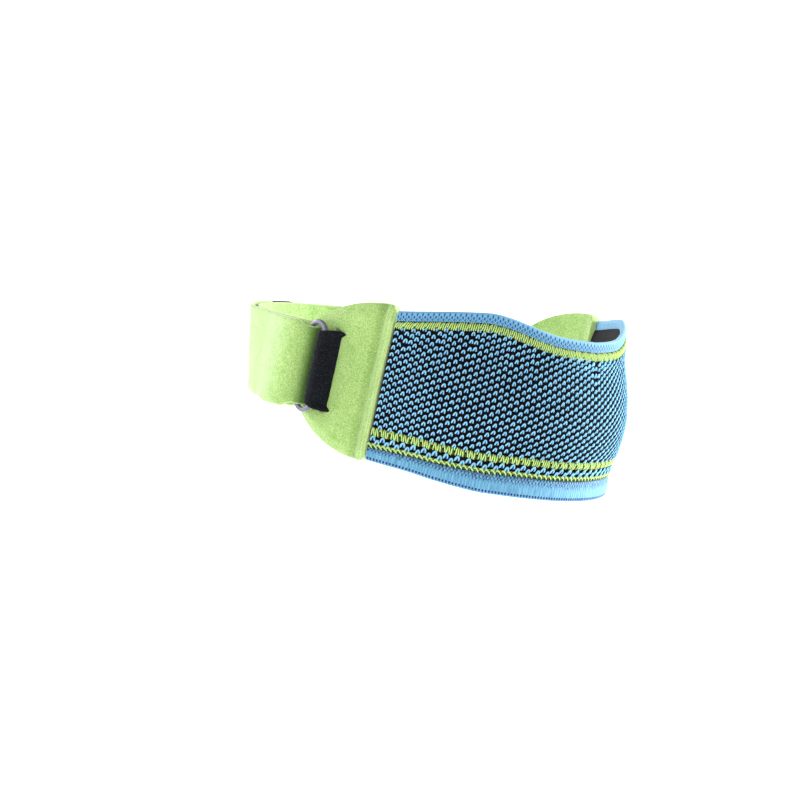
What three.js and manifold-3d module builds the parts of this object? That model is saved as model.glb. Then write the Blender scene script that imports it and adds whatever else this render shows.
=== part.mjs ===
// Knee support: a padded knitted band, closed at one side by a strap.
// A felt ear is moulded on each end of the band. A loop of tape comes out of one ear and holds a
// ring, and a felt strap from the other ear goes round the back, through the ring and back on itself.
// Millimetres, +Z up, -Y the front of the band, -X the side with the ring.
// The origin is the middle of the hollow inside the support.
import * as THREE from 'three';
import { mergeVertices } from 'three/addons/utils/BufferGeometryUtils.js';
import Module from 'manifold-3d';

const wasm = await Module();
wasm.setup();

// Driving dimensions: the oval that the support makes, outside
const supportWidth = 108.6; // from side to side
const frontDepth = 61; // from the middle of a side to the front of the band
const backDepth = 65; // and to the back of the strap
const bandHalfAngle = 70.7; // from the front to the seam of an ear, degrees round the oval

// The knitted band
const bandRise = 28.2; // top edge above the middle, at its highest, on either crest
const bandDrop = 25.1; // bottom edge below the middle, at its lowest
const padThickness = 6; // the pad over the tendon, in the middle of the front
const bandEndThickness = 3.4; // the band beside an ear
const topTuck = 6.1; // how far the top edge lies inside the belly of the band
const rimHeight = 3.4;
const rimThickness = 1.8;
const hemHeight = 6.8; // in front, and less beside the ears
const hemThickness = 2.4;

// The felt ears
const earLength = 35.7; // from the seam to the round end, along the oval
const earHeight = 48.8;
const earDroop = 1.6; // how far the round end lies lower than the seam
const earThickness = 3;
const earSink = 0.5; // the face of an ear inside the face of the band
const earCorner = 3.2;
const borderWidth = 4; // the pressed border of an ear
const borderDrop = 1;
const lipWidth = 2.2; // the raised lip beside the knit
const lipRise = 0.9;
const grooveWidth = 4.6; // the pressed groove behind the lip
const grooveDepth = 0.9;

// The ring
const ringHeight = 28.8;
const ringWidth = 7.6;
const ringBar = 1.6;
const ringFromSeam = 24.1; // to the middle of the ring
const ringDrop = 0.5; // the middle of the ring below the middle of the band
const tapeReach = 0.7; // how far the tape reaches into each round end of the ring
const strapReach = 1.4; // and the strap, which bends round the corners there

// The tape that holds the ring
const tapeThickness = 0.8;
const tapePressed = 1; // both layers, pressed and sewn inside the ear
const tapeFlare = 1.2; // how much each corner spreads at the slit
const tapeTail = 6; // the stretch held inside the ear
const slitFromSeam = 18.2;
const tapeDepth = 1.5; // the middle of the tail under the face of the ear

// The strap
const strapWidth = 27.2;
const strapThickness = 1.6;
const strapSewn = 22; // the stretch sewn over the far ear
const strapReturn = 71; // from the ring to the free end, degrees round the oval
const strapSqueeze = 3; // the stretch over which the strap narrows into the ring
const strapSettle = 32; // the stretch over which the upper layer comes down beside the ring
const strapSwell = 2; // how far the upper layer swells outwards behind the ring
const strapRamp = 20; // the stretch over which the lower layer climbs on an ear
const strapSlope = 0.12; // fall of the strap for each millimetre towards the back
const strapLean = 0.18; // lean of its upper edge outwards, for each millimetre of height
const leanFull = 145; // where the strap has its whole lean, degrees from the front

// The hook tab on the strap's free end
const tabLength = 22;
const tabThickness = 1.2;

// The gap that pieces keep where they touch
const clearance = 0.3;

// Edges of the band: angle as a share of bandHalfAngle, top of bandRise, bottom of bandDrop,
// and the height of the hem as a share of hemHeight
const edgeTable = [
  { angle: 0.0, top: 0.858, bottom: 0.985, hem: 1.0 },
  { angle: 0.21, top: 0.876, bottom: 0.987, hem: 1.0 },
  { angle: 0.31, top: 0.91, bottom: 0.99, hem: 1.0 },
  { angle: 0.4, top: 0.953, bottom: 0.995, hem: 0.98 },
  { angle: 0.48, top: 0.986, bottom: 1.0, hem: 0.94 },
  { angle: 0.57, top: 1.0, bottom: 0.988, hem: 0.89 },
  { angle: 0.68, top: 0.965, bottom: 0.968, hem: 0.82 },
  { angle: 0.8, top: 0.912, bottom: 0.94, hem: 0.75 },
  { angle: 1.0, top: 0.81, bottom: 0.93, hem: 0.66 },
];

// Belly of the band: height as a share of the edge above or below, tuck of topTuck
const bellyTable = [
  { height: -1.0, tuck: 0.12 },
  { height: -0.77, tuck: 0.2 },
  { height: -0.62, tuck: 0.24 },
  { height: -0.45, tuck: 0.09 },
  { height: -0.1, tuck: 0.0 },
  { height: 0.15, tuck: 0.16 },
  { height: 0.36, tuck: 0.4 },
  { height: 0.6, tuck: 0.74 },
  { height: 0.8, tuck: 0.89 },
  { height: 1.0, tuck: 1.0 },
];

// How much of the belly and of the pad is left towards the ears, angle of bandHalfAngle
const fadeTable = [
  { angle: 0.0, belly: 0.85, pad: 1.0 },
  { angle: 0.3, belly: 0.95, pad: 1.0 },
  { angle: 0.55, belly: 1.0, pad: 0.8 },
  { angle: 0.8, belly: 0.7, pad: 0.3 },
  { angle: 1.0, belly: 0.12, pad: 0.0 },
  { angle: 1.12, belly: 0.0, pad: 0.0 },
];

// Colours and finishes
const colours = { sky: 0x6fb9e6, knit: 0x2d4a6d, felt: 0xaed876, tape: 0x14161f, metal: 0x8d8d9b };

const degrees = THREE.MathUtils.degToRad;

// Smooth value of one column of a table between its rows
function along(table, key, column, at) {
  const last = table.length - 1;
  const x = THREE.MathUtils.clamp(at, table[0][key], table[last][key]);
  const i = Math.max(1, table.findIndex((row) => row[key] >= x));
  const a = table[i - 1];
  const b = table[i];
  const before = table[Math.max(i - 2, 0)];
  const after = table[Math.min(i + 1, last)];
  const slopeA = (b[column] - before[column]) / (b[key] - before[key]);
  const slopeB = (after[column] - a[column]) / (after[key] - a[key]);
  const span = b[key] - a[key];
  const t = (x - a[key]) / span;
  return (
    (2 * t ** 3 - 3 * t ** 2 + 1) * a[column] +
    (t ** 3 - 2 * t ** 2 + t) * span * slopeA +
    (3 * t ** 2 - 2 * t ** 3) * b[column] +
    (t ** 3 - t ** 2) * span * slopeB
  );
}

// Evenly spaced numbers from one value to another, both included
function spaced(from, to, count) {
  const steps = Math.round(count);
  return [...Array(steps + 1).keys()].map((i) => from + ((to - from) * i) / steps);
}

// The oval is half an ellipse in front and a deeper one behind
function halfDepth(angle) {
  return Math.cos(angle) > 0 ? frontDepth : backDepth;
}

// Its distance from the axis at an angle measured from the front
function ovalRadius(angle) {
  const across = Math.sin(angle) / (supportWidth / 2);
  const deep = Math.cos(angle) / halfDepth(angle);
  return 1 / Math.hypot(across, deep);
}

// The outward direction of the oval at an angle
function outward(angle) {
  const x = Math.sin(angle) / (supportWidth / 2) ** 2;
  const y = -Math.cos(angle) / halfDepth(angle) ** 2;
  return new THREE.Vector3(x, y, 0).normalize();
}

// A point at an angle round the oval, a height, and an offset outwards from it
function wallPoint(angle, height, offset) {
  const radius = ovalRadius(angle);
  const foot = new THREE.Vector3(radius * Math.sin(angle), -radius * Math.cos(angle), height);
  return foot.addScaledVector(outward(angle), offset);
}

// The angle reached from another one by going a distance along the oval
function walk(angle, distance) {
  const steps = 24;
  let here = angle;
  for (let i = 0; i < steps; i += 1) {
    const radius = ovalRadius(here);
    const cosine = outward(here).dot(new THREE.Vector3(Math.sin(here), -Math.cos(here), 0));
    here += ((distance / steps) * cosine) / radius;
  }
  return here;
}

// The face of the band and ears: tucked in above and below its belly
function faceOffset(angle, height) {
  const share = Math.abs(angle) / degrees(bandHalfAngle);
  const top = bandRise * along(edgeTable, 'angle', 'top', share);
  const bottom = bandDrop * along(edgeTable, 'angle', 'bottom', share);
  const belly = along(bellyTable, 'height', 'tuck', height > 0 ? height / top : height / bottom);
  return -topTuck * belly * along(fadeTable, 'angle', 'belly', share);
}

// Turn a closed mesh so that its faces point outwards
function facingOut(geometry) {
  const p = geometry.getAttribute('position');
  const index = geometry.getIndex();
  const corner = [new THREE.Vector3(), new THREE.Vector3(), new THREE.Vector3()];
  let volume = 0;
  for (let i = 0; i < index.count; i += 3) {
    corner.forEach((c, k) => c.fromBufferAttribute(p, index.getX(i + k)));
    volume += corner[0].dot(corner[1].clone().cross(corner[2]));
  }
  if (volume < 0) {
    for (let i = 0; i < index.count; i += 3) {
      const first = index.getX(i);
      index.setX(i, index.getX(i + 1));
      index.setX(i + 1, first);
    }
  }
  return geometry;
}

// A body carried through stations: place(station, point) puts each point of a flat outline
function sweep(outline, stations, place, closed = false) {
  const positions = [];
  stations.forEach((station) =>
    outline.forEach((point) => positions.push(...place(station, point).toArray())),
  );
  const count = outline.length;
  const rings = stations.length;
  const faces = [];
  for (let i = 0; i < (closed ? rings : rings - 1); i += 1) {
    const here = i * count;
    const next = ((i + 1) % rings) * count;
    for (let j = 0; j < count; j += 1) {
      const k = (j + 1) % count;
      faces.push(here + j, here + k, next + k, here + j, next + k, next + j);
    }
  }
  if (!closed) {
    const cap = THREE.ShapeUtils.triangulateShape(outline, []);
    const turned = THREE.ShapeUtils.isClockWise(outline);
    const end = (rings - 1) * count;
    cap.forEach(([a, b, c]) => {
      faces.push(...(turned ? [a, b, c] : [a, c, b]));
      faces.push(...(turned ? [end + a, end + c, end + b] : [end + a, end + b, end + c]));
    });
  }
  const geometry = new THREE.BufferGeometry();
  geometry.setAttribute('position', new THREE.Float32BufferAttribute(positions, 3));
  geometry.setIndex(faces);
  return facingOut(geometry);
}

// The outline of a strip: x goes up its height from 0 to 1, y from its outer face 0 to its inner 1
function stripOutline(outerRows, innerRows) {
  const outer = spaced(0, 1, outerRows).map((x) => new THREE.Vector2(x, 0));
  const inner = spaced(1, 0, innerRows).map((x) => new THREE.Vector2(x, 1));
  return [...outer, ...inner];
}

// The outline of a flat bar with round edges, its middle at 0
function roundedOutline(height, thickness, steps) {
  const radius = thickness / 2;
  const flat = height / 2 - radius;
  const shape = new THREE.Shape();
  shape.absarc(flat, 0, radius, -Math.PI / 2, Math.PI / 2, false);
  shape.absarc(-flat, 0, radius, Math.PI / 2, (3 * Math.PI) / 2, false);
  return loopPoints(shape, steps);
}

// The points round a closed outline, each once
const samePlace = 1e-6; // closer than this, two points are one

function loopPoints(path, divisions) {
  const points = path.getPoints(divisions);
  const closes = points[0].distanceTo(points[points.length - 1]) < samePlace;
  return closes ? points.slice(0, -1) : points;
}

function solidOf(geometry) {
  const bare = geometry.clone();
  bare.deleteAttribute('normal');
  bare.deleteAttribute('uv');
  const merged = mergeVertices(bare, 1e-4);
  const mesh = new wasm.Mesh({
    numProp: 3,
    vertProperties: new Float32Array(merged.getAttribute('position').array),
    triVerts: new Uint32Array(merged.getIndex().array),
  });
  return new wasm.Manifold(mesh);
}

function geometryOf(solid) {
  const mesh = solid.getMesh();
  const geometry = new THREE.BufferGeometry();
  geometry.setAttribute('position', new THREE.BufferAttribute(mesh.vertProperties.slice(), 3));
  geometry.setIndex(new THREE.BufferAttribute(mesh.triVerts.slice(), 1));
  return geometry;
}

// The knitted band: a padded panel between a rim and a hem
const bandColumns = 42;
const panelRows = { outer: 16, inner: 10 };
const bandEnd = walk(degrees(bandHalfAngle), -clearance);
const bandAngles = spaced(-bandEnd, bandEnd, bandColumns);

function bandEdges(angle) {
  const share = Math.abs(angle) / degrees(bandHalfAngle);
  return {
    top: bandRise * along(edgeTable, 'angle', 'top', share),
    bottom: -bandDrop * along(edgeTable, 'angle', 'bottom', share),
    hem: hemHeight * along(edgeTable, 'angle', 'hem', share),
    pad: bandEndThickness
      + (padThickness - bandEndThickness) * along(fadeTable, 'angle', 'pad', share),
  };
}

function knitPanel() {
  const outline = stripOutline(panelRows.outer, panelRows.inner);
  return sweep(outline, bandAngles, (angle, point) => {
    const edges = bandEdges(angle);
    const low = edges.bottom + edges.hem + clearance;
    const high = edges.top - rimHeight - clearance;
    const height = THREE.MathUtils.lerp(low, high, point.x);
    const border = THREE.MathUtils.lerp(hemThickness, rimThickness, point.x);
    const swell = 1 - (2 * point.x - 1) ** 4;
    const thickness = border + (edges.pad - border) * swell;
    return wallPoint(angle, height, faceOffset(angle, height) - thickness * point.y);
  });
}

function upperRim() {
  const outline = roundedOutline(rimHeight, rimThickness, 3);
  return sweep(outline, bandAngles, (angle, point) => {
    const height = bandEdges(angle).top - rimHeight / 2 + point.x;
    const offset = faceOffset(angle, height) - rimThickness / 2 + point.y;
    return wallPoint(angle, height, offset);
  });
}

function lowerHem() {
  const outline = roundedOutline(hemHeight, hemThickness, 3);
  return sweep(outline, bandAngles, (angle, point) => {
    const edges = bandEdges(angle);
    const height = edges.bottom + edges.hem * (0.5 + point.x / hemHeight);
    const offset = faceOffset(angle, height) - hemThickness / 2 + point.y;
    return wallPoint(angle, height, offset);
  });
}

// An ear is half an oval in outline, with small corners at the seam
function earHalfHeight(distance) {
  const oval = (earHeight / 2) * Math.sqrt(Math.max(0, 1 - (distance / earLength) ** 2));
  const inCorner = Math.max(0, earCorner - distance);
  return oval - (earCorner - Math.sqrt(earCorner ** 2 - inCorner ** 2));
}

// The middle of an ear: its round end hangs a little lower
function earMiddle(distance) {
  return (-earDroop * distance) / earLength;
}

// A smooth hump of height 1 over a width
function hump(distance, width) {
  const share = THREE.MathUtils.clamp(distance / width, 0, 1);
  return Math.sin(Math.PI * share) ** 2;
}

// The face of an ear: lip, groove and pressed border. The lip is already risen at the seam.
const lipLead = lipWidth / 2;

function earFace(distance, angle, height) {
  const inFromEdge = earHalfHeight(distance) - Math.abs(height - earMiddle(distance));
  const inFromEnd = earLength - distance;
  const border = Math.min(inFromEdge, inFromEnd);
  const pressed = 1 - THREE.MathUtils.smoothstep(border, 0, borderWidth);
  const lip = lipRise * hump(distance + lipLead, lipWidth + lipLead);
  const groove = grooveDepth * hump(distance - lipWidth, grooveWidth);
  const sink = earSink * THREE.MathUtils.smoothstep(distance, 0, lipWidth + grooveWidth);
  return faceOffset(angle, height) + lip - groove - sink - borderDrop * pressed;
}

const earColumns = 24;
const earRows = { outer: 14, inner: 7 };
const roundTip = 0.998; // share of the length at which a round end is closed

function ear(side) {
  const outline = stripOutline(earRows.outer, earRows.inner);
  const places = spaced(0, Math.PI, earColumns)
    .map((turn) => clearance + (earLength * roundTip - clearance) * (0.5 - Math.cos(turn) / 2));
  return sweep(outline, places, (distance, point) => {
    const angle = side * walk(degrees(bandHalfAngle), distance);
    const height = earMiddle(distance) + earHalfHeight(distance) * (2 * point.x - 1);
    const inner = faceOffset(angle, height) - earSink - earThickness;
    const face = earFace(distance, angle, height);
    return wallPoint(angle, height, THREE.MathUtils.lerp(face, inner, point.y));
  });
}

// The ring stands over the face of the ear, with the strap's lower layer under its rear bar
const bendRadius = ringBar / 2 + clearance + strapThickness / 2;
const strapOnEar = -earSink + clearance + strapThickness / 2;
const ringOffset = strapOnEar + bendRadius;
const barSpread = (ringWidth - ringBar) / 2;
const ringStraight = ringHeight - ringWidth;
const tapeHeight = ringStraight + 2 * tapeReach;
const strapHeld = ringStraight + 2 * strapReach;

function ringShape() {
  const path = new THREE.Shape();
  path.absarc(0, ringStraight / 2, barSpread, 0, Math.PI, false);
  path.absarc(0, -ringStraight / 2, barSpread, Math.PI, 2 * Math.PI, false);
  const wire = new THREE.Shape().absarc(0, 0, ringBar / 2, 0, 2 * Math.PI, false);
  return sweep(loopPoints(wire, 5), loopPoints(path, 6), (here, point) => {
    const reach = THREE.MathUtils.clamp(here.y, -ringStraight / 2, ringStraight / 2);
    const out = here.clone().sub(new THREE.Vector2(0, reach)).normalize();
    return new THREE.Vector3(here.x + out.x * point.x, point.y, here.y + out.y * point.x);
  }, true);
}

// One edge of a ribbon: a line of points moved sideways, mitred at its bends
function movedLine(points, distance) {
  return points.map((point, i) => {
    const before = points[Math.max(i - 1, 0)];
    const after = points[Math.min(i + 1, points.length - 1)];
    const onward = after.clone().sub(i === points.length - 1 ? before : point).normalize();
    const heading = after.clone().sub(before).normalize();
    const sideways = new THREE.Vector2(-heading.y, heading.x);
    const mitre = Math.max(heading.dot(onward), 0.5);
    return point.clone().addScaledVector(sideways, distance / mitre);
  });
}

// The point where a line from outside touches a circle, on its left (1) or right (-1)
function touchPoint(from, centre, radius, side) {
  const line = centre.clone().sub(from);
  const reach = line.length();
  line.normalize().rotateAround(new THREE.Vector2(), side * Math.asin(radius / reach));
  return from.clone().addScaledVector(line, Math.sqrt(reach ** 2 - radius ** 2));
}

// The tape's route in the ear: x is the distance from the seam, y the offset outwards
const tapeMiddle = -earSink - tapeDepth;
const tapeBend = slitFromSeam - tapeDepth;
const tapeRoute = [
  new THREE.Vector2(tapeBend - tapeTail, tapeMiddle),
  new THREE.Vector2(tapeBend, tapeMiddle),
  new THREE.Vector2(slitFromSeam + tapePressed / 2, -earSink + tapePressed / 2),
];

// The tape: one loop round the ring's front bar, both layers pressed together in the ear
function tapeShape() {
  const bar = new THREE.Vector2(ringFromSeam - barSpread, ringOffset);
  const hole = ringBar / 2 + clearance;
  const round = hole + tapeThickness;
  const upper = movedLine(tapeRoute, tapePressed / 2);
  const lower = movedLine(tapeRoute, -tapePressed / 2);
  const top = touchPoint(upper[2], bar, round, 1);
  const bottom = touchPoint(lower[2], bar, round, -1);
  const angleOf = (point) => Math.atan2(point.y - bar.y, point.x - bar.x);
  const shape = new THREE.Shape();
  shape.moveTo(lower[0].x, lower[0].y);
  shape.lineTo(lower[1].x, lower[1].y);
  shape.lineTo(lower[2].x, lower[2].y);
  shape.absarc(bar.x, bar.y, round, angleOf(bottom), angleOf(top), false);
  shape.lineTo(upper[2].x, upper[2].y);
  shape.lineTo(upper[1].x, upper[1].y);
  shape.lineTo(upper[0].x, upper[0].y);
  shape.holes.push(new THREE.Path().absarc(bar.x, bar.y, hole, 0, 2 * Math.PI, true));
  return shape;
}

// The pocket and slit that the tape lies in, larger by the clearance all round
function pocketShape() {
  const wide = tapePressed / 2 + clearance;
  const route = tapeRoute.map((point) => point.clone());
  const slope = route[2].clone().sub(route[1]).normalize();
  route[0].x -= clearance;
  route[2].addScaledVector(slope, 2 * tapePressed);
  return new THREE.Shape([...movedLine(route, -wide), ...movedLine(route, wide).reverse()]);
}

// A flat cross-section drawn out upwards and laid along the oval on the ring's side
function drawnOut(shape, height, steps, spread) {
  const flat = new THREE.ExtrudeGeometry(shape, {
    depth: height, steps, curveSegments: 10, bevelEnabled: false,
  });
  flat.deleteAttribute('normal');
  flat.deleteAttribute('uv');
  const geometry = mergeVertices(flat, 1e-4);
  const position = geometry.getAttribute('position');
  const point = new THREE.Vector3();
  for (let i = 0; i < position.count; i += 1) {
    point.fromBufferAttribute(position, i);
    const upwards = (point.z - height / 2) * spread(point) - ringDrop;
    const angle = -walk(degrees(bandHalfAngle), point.x);
    position.setXYZ(i, ...wallPoint(angle, upwards, point.y).toArray());
  }
  return facingOut(geometry);
}

function ringTape() {
  const flare = (2 * tapeFlare) / tapeHeight;
  return drawnOut(tapeShape(), tapeHeight, 6, (point) => {
    const nearSlit = 1 - Math.abs(point.x - slitFromSeam) / (barSpread + tapeDepth);
    return 1 + flare * THREE.MathUtils.smoothstep(nearSlit, 0, 1);
  });
}

function closureEar() {
  const pocket = drawnOut(pocketShape(), tapeHeight + 2 * (tapeFlare + clearance), 6, () => 1);
  return geometryOf(solidOf(ear(-1)).subtract(solidOf(pocket)));
}

// The strap, in turns round the oval from the far side over the back to the ring
const fullTurn = 2 * Math.PI;
const rearBar = fullTurn - walk(degrees(bandHalfAngle), ringFromSeam + barSpread);
const earEnd = walk(degrees(bandHalfAngle), earLength);
const rampEnd = walk(degrees(bandHalfAngle), earLength + strapRamp);
const strapOnSkin = -earSink - earThickness + strapThickness / 2;
const strapStart = walk(degrees(bandHalfAngle), earLength - strapSewn);
const strapEnd = rearBar - degrees(strapReturn);
const layerStep = strapThickness + clearance;
const strapStations = { lower: 60, bend: 10, upper: 24, tab: 12 };

// How far a place is behind the ring, from front to back
function behindRing(angle) {
  const depthAt = (turn) => -ovalRadius(turn) * Math.cos(turn);
  return Math.max(0, depthAt(angle) - depthAt(walk(degrees(bandHalfAngle), ringFromSeam)));
}

function lowerLayer(angle) {
  const fromFront = Math.min(angle, fullTurn - angle);
  const down = THREE.MathUtils.smoothstep(fromFront, earEnd, rampEnd);
  return THREE.MathUtils.lerp(strapOnEar, strapOnSkin, down);
}

function upperLayer(angle) {
  const distance = (rearBar - angle) * ovalRadius(angle);
  const down = THREE.MathUtils.smoothstep(distance, 0, strapSettle);
  const settled = strapOnSkin + layerStep;
  const early = Math.sqrt(Math.min(1, Math.max(0, distance / strapSettle)));
  const swell = strapSwell * hump(early, 1); // steep behind the ring, and long after it
  const free = THREE.MathUtils.lerp(ringOffset + bendRadius, settled, down) + swell;
  return Math.max(free, lowerLayer(angle) + layerStep);
}

function strapStation(angle, offset, alongLeg, outwards) {
  const fromFront = Math.min(angle, fullTurn - angle);
  const distance = Math.abs(rearBar - angle) * ovalRadius(angle);
  const wide = THREE.MathUtils.smoothstep(distance, 0, strapSqueeze);
  return {
    angle, offset, alongLeg, outwards,
    middle: -ringDrop - strapSlope * behindRing(angle),
    lean: strapLean * THREE.MathUtils.smoothstep(fromFront, earEnd, degrees(leanFull)),
    share: THREE.MathUtils.lerp(strapHeld / strapWidth, 1, wide),
  };
}

// How far the ring's rear bar has curved away at a height from the ring's middle
function cornerAway(up) {
  const reach = THREE.MathUtils.clamp(Math.abs(up) - ringStraight / 2, 0, barSpread);
  return barSpread - Math.sqrt(barSpread ** 2 - reach ** 2);
}

function strapPoint(station, point) {
  const up = point.x * station.share;
  const angle = walk(station.angle, (point.y + cornerAway(up)) * station.alongLeg);
  const offset = station.offset + point.y * station.outwards + up * station.lean;
  return wallPoint(angle, station.middle + up, offset);
}

function strap() {
  const lower = spaced(strapStart, rearBar, strapStations.lower).map((angle) =>
    strapStation(angle, lowerLayer(angle), 0, -1));
  const turns = spaced(-Math.PI / 2, Math.PI / 2, strapStations.bend).slice(1, -1);
  const bend = turns.map((turn) => {
    const angle = walk(rearBar, bendRadius * Math.cos(turn));
    const offset = ringOffset + bendRadius * Math.sin(turn);
    const station = strapStation(angle, offset, Math.cos(turn), Math.sin(turn));
    return { ...station, share: strapHeld / strapWidth };
  });
  const upper = spaced(rearBar, strapEnd, strapStations.upper).map((angle) =>
    strapStation(angle, upperLayer(angle), 0, 1));
  const outline = roundedOutline(strapWidth, strapThickness, 3);
  return sweep(outline, [...lower, ...bend, ...upper], strapPoint);
}

// The hook tab goes on from the strap's free end, on the lower layer, with a round end
function hookTab() {
  const outline = roundedOutline(strapWidth, tabThickness, 2);
  const offset = strapOnSkin + (strapThickness + tabThickness) / 2 + clearance;
  const stations = spaced(0, Math.PI / 2, strapStations.tab).map((turn) => {
    const distance = clearance + (tabLength - clearance) * Math.sin(turn) * roundTip;
    const angle = walk(strapEnd, -distance);
    const half = strapWidth / 2;
    const roundEnd = Math.max(0, distance - (tabLength - half));
    const share = Math.sqrt(Math.max(0, 1 - (roundEnd / half) ** 2));
    return { ...strapStation(angle, offset, 0, 1), share };
  });
  return sweep(outline, stations, strapPoint);
}

// The assembly
const support = new THREE.Group();

function addPiece(name, geometry, colour, roughness, metalness = 0) {
  const material = new THREE.MeshStandardMaterial({ color: colour, roughness, metalness });
  const piece = new THREE.Mesh(geometry, material);
  piece.name = name;
  support.add(piece);
  return piece;
}

addPiece('knit_panel', knitPanel(), colours.knit, 0.85);
addPiece('upper_rim', upperRim(), colours.sky, 0.8);
addPiece('lower_hem', lowerHem(), colours.sky, 0.75);
addPiece('closure_ear', closureEar(), colours.felt, 0.95);
addPiece('far_ear', ear(1), colours.felt, 0.95);
const ring = addPiece('ring', ringShape(), colours.metal, 0.35, 0.6);
addPiece('ring_tape', ringTape(), colours.tape, 0.95);
addPiece('strap', strap(), colours.felt, 0.95);
addPiece('hook_tab', hookTab(), colours.tape, 0.9);

// The ring's flat side faces inwards, square to the oval
const ringAngle = -walk(degrees(bandHalfAngle), ringFromSeam);
const ringOut = outward(ringAngle);
ring.position.copy(wallPoint(ringAngle, -ringDrop, ringOffset));
ring.rotation.z = Math.atan2(ringOut.y, ringOut.x) - Math.PI / 2;

export default support;
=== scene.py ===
# %% [markdown]
# # A knitted knee support, dressed in Blender
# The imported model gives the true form: a padded knitted band, two felt ears, a ring on a loop of
# tape, and a felt strap. This lesson puts a finer surface on each soft piece: yarn by yarn on the
# knit, and a soft, slightly uneven face on the felt. Nothing here moves or resizes the model.

import math

import bpy
import numpy as np
from mathutils import Matrix, Vector


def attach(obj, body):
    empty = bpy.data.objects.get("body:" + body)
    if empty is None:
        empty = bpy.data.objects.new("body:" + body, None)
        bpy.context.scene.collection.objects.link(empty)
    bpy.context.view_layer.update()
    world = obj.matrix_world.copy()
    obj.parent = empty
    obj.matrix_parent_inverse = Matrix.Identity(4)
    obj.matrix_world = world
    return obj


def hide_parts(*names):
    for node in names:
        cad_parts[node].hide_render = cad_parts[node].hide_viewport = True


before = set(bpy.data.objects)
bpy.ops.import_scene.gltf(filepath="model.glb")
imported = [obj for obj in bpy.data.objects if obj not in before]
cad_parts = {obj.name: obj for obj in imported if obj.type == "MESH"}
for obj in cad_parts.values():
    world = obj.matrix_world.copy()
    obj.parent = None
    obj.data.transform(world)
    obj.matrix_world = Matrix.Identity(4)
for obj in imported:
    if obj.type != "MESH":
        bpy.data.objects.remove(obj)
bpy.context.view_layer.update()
MM = 0.001
chance = np.random.default_rng(7)
print("nodes:", ", ".join(sorted(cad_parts)))

# %% [markdown]
# ## The oval
# Every piece follows one oval, so one pair of coordinates serves them all: how far to go round it
# from the middle of the front, and how high. A third number lifts a point off it. Working this
# way, a flat pattern of stitches wraps round by itself, as real knitting does.

# %% Lengths round the oval
half_width = 54.3 * MM
front_depth = 61 * MM
back_depth = 65 * MM
seam_angle = math.radians(70.7)


def oval_radius(angle):
    """Distance of the oval from the axis.

    It is 1 over the length of (sine / half width, cosine / depth).
    """
    depth = np.where(np.cos(angle) > 0, front_depth, back_depth)
    return 1 / np.hypot(np.sin(angle) / half_width, np.cos(angle) / depth)


def outward(angle):
    """The oval's outward direction: the slope of its equation, made one long."""
    depth = np.where(np.cos(angle) > 0, front_depth, back_depth)
    x = np.sin(angle) / half_width**2
    y = -np.cos(angle) / depth**2
    size = np.hypot(x, y)
    return x / size, y / size


turn_samples = np.linspace(-2 * np.pi, 2 * np.pi, 16001)
oval_x = oval_radius(turn_samples) * np.sin(turn_samples)
oval_y = -oval_radius(turn_samples) * np.cos(turn_samples)
oval_steps = np.hypot(np.diff(oval_x), np.diff(oval_y))
oval_lengths = np.concatenate([[0], np.cumsum(oval_steps)])
oval_lengths -= np.interp(0, turn_samples, oval_lengths)


def length_at(angle):
    """Length along the oval from the front to an angle, from summed small steps."""
    return np.interp(angle, turn_samples, oval_lengths)


def angle_at(length):
    return np.interp(length, oval_lengths, turn_samples)


def place(length, height, offset):
    """The point that lies a length round the oval, at a height, and an offset outwards from it."""
    angle = angle_at(length)
    radius = oval_radius(angle)
    out_x, out_y = outward(angle)
    x = radius * np.sin(angle) + out_x * offset
    y = -radius * np.cos(angle) + out_y * offset
    return np.stack(np.broadcast_arrays(x, y, height), axis=-1)


seam_length = float(length_at(seam_angle))
full_length = float(length_at(2 * np.pi))
print(f"oval {full_length / MM:.0f} mm round, seams {seam_length / MM:.1f} mm from the front")

# %% [markdown]
# ## The face of the band
# The band is cut to a wave along its top and tucks in above and below a soft belly. Short tables
# of shares hold those forms, the same ones that the model was built from, and a smooth curve is
# drawn through their rows.

# %% Tables of the band's edges and belly
band_rise = 28.2 * MM
band_drop = 25.1 * MM
top_tuck = 6.1 * MM
pad_thickness = 6 * MM
band_end_thickness = 3.4 * MM
rim_height = 3.4 * MM
rim_thickness = 1.8 * MM
hem_height = 6.8 * MM
hem_thickness = 2.4 * MM
clearance = 0.3 * MM

edge_shares = {
    "angle": [0.0, 0.21, 0.31, 0.4, 0.48, 0.57, 0.68, 0.8, 1.0],
    "top": [0.858, 0.876, 0.91, 0.953, 0.986, 1.0, 0.965, 0.912, 0.81],
    "bottom": [0.985, 0.987, 0.99, 0.995, 1.0, 0.988, 0.968, 0.94, 0.93],
    "hem": [1.0, 1.0, 1.0, 0.98, 0.94, 0.89, 0.82, 0.75, 0.66],
}
belly_shares = {
    "height": [-1.0, -0.77, -0.62, -0.45, -0.1, 0.15, 0.36, 0.6, 0.8, 1.0],
    "tuck": [0.12, 0.2, 0.24, 0.09, 0.0, 0.16, 0.4, 0.74, 0.89, 1.0],
}
fade_shares = {
    "angle": [0.0, 0.3, 0.55, 0.8, 1.0, 1.12],
    "belly": [0.85, 0.95, 1.0, 0.7, 0.12, 0.0],
    "pad": [1.0, 1.0, 0.8, 0.3, 0.0, 0.0],
}


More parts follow.
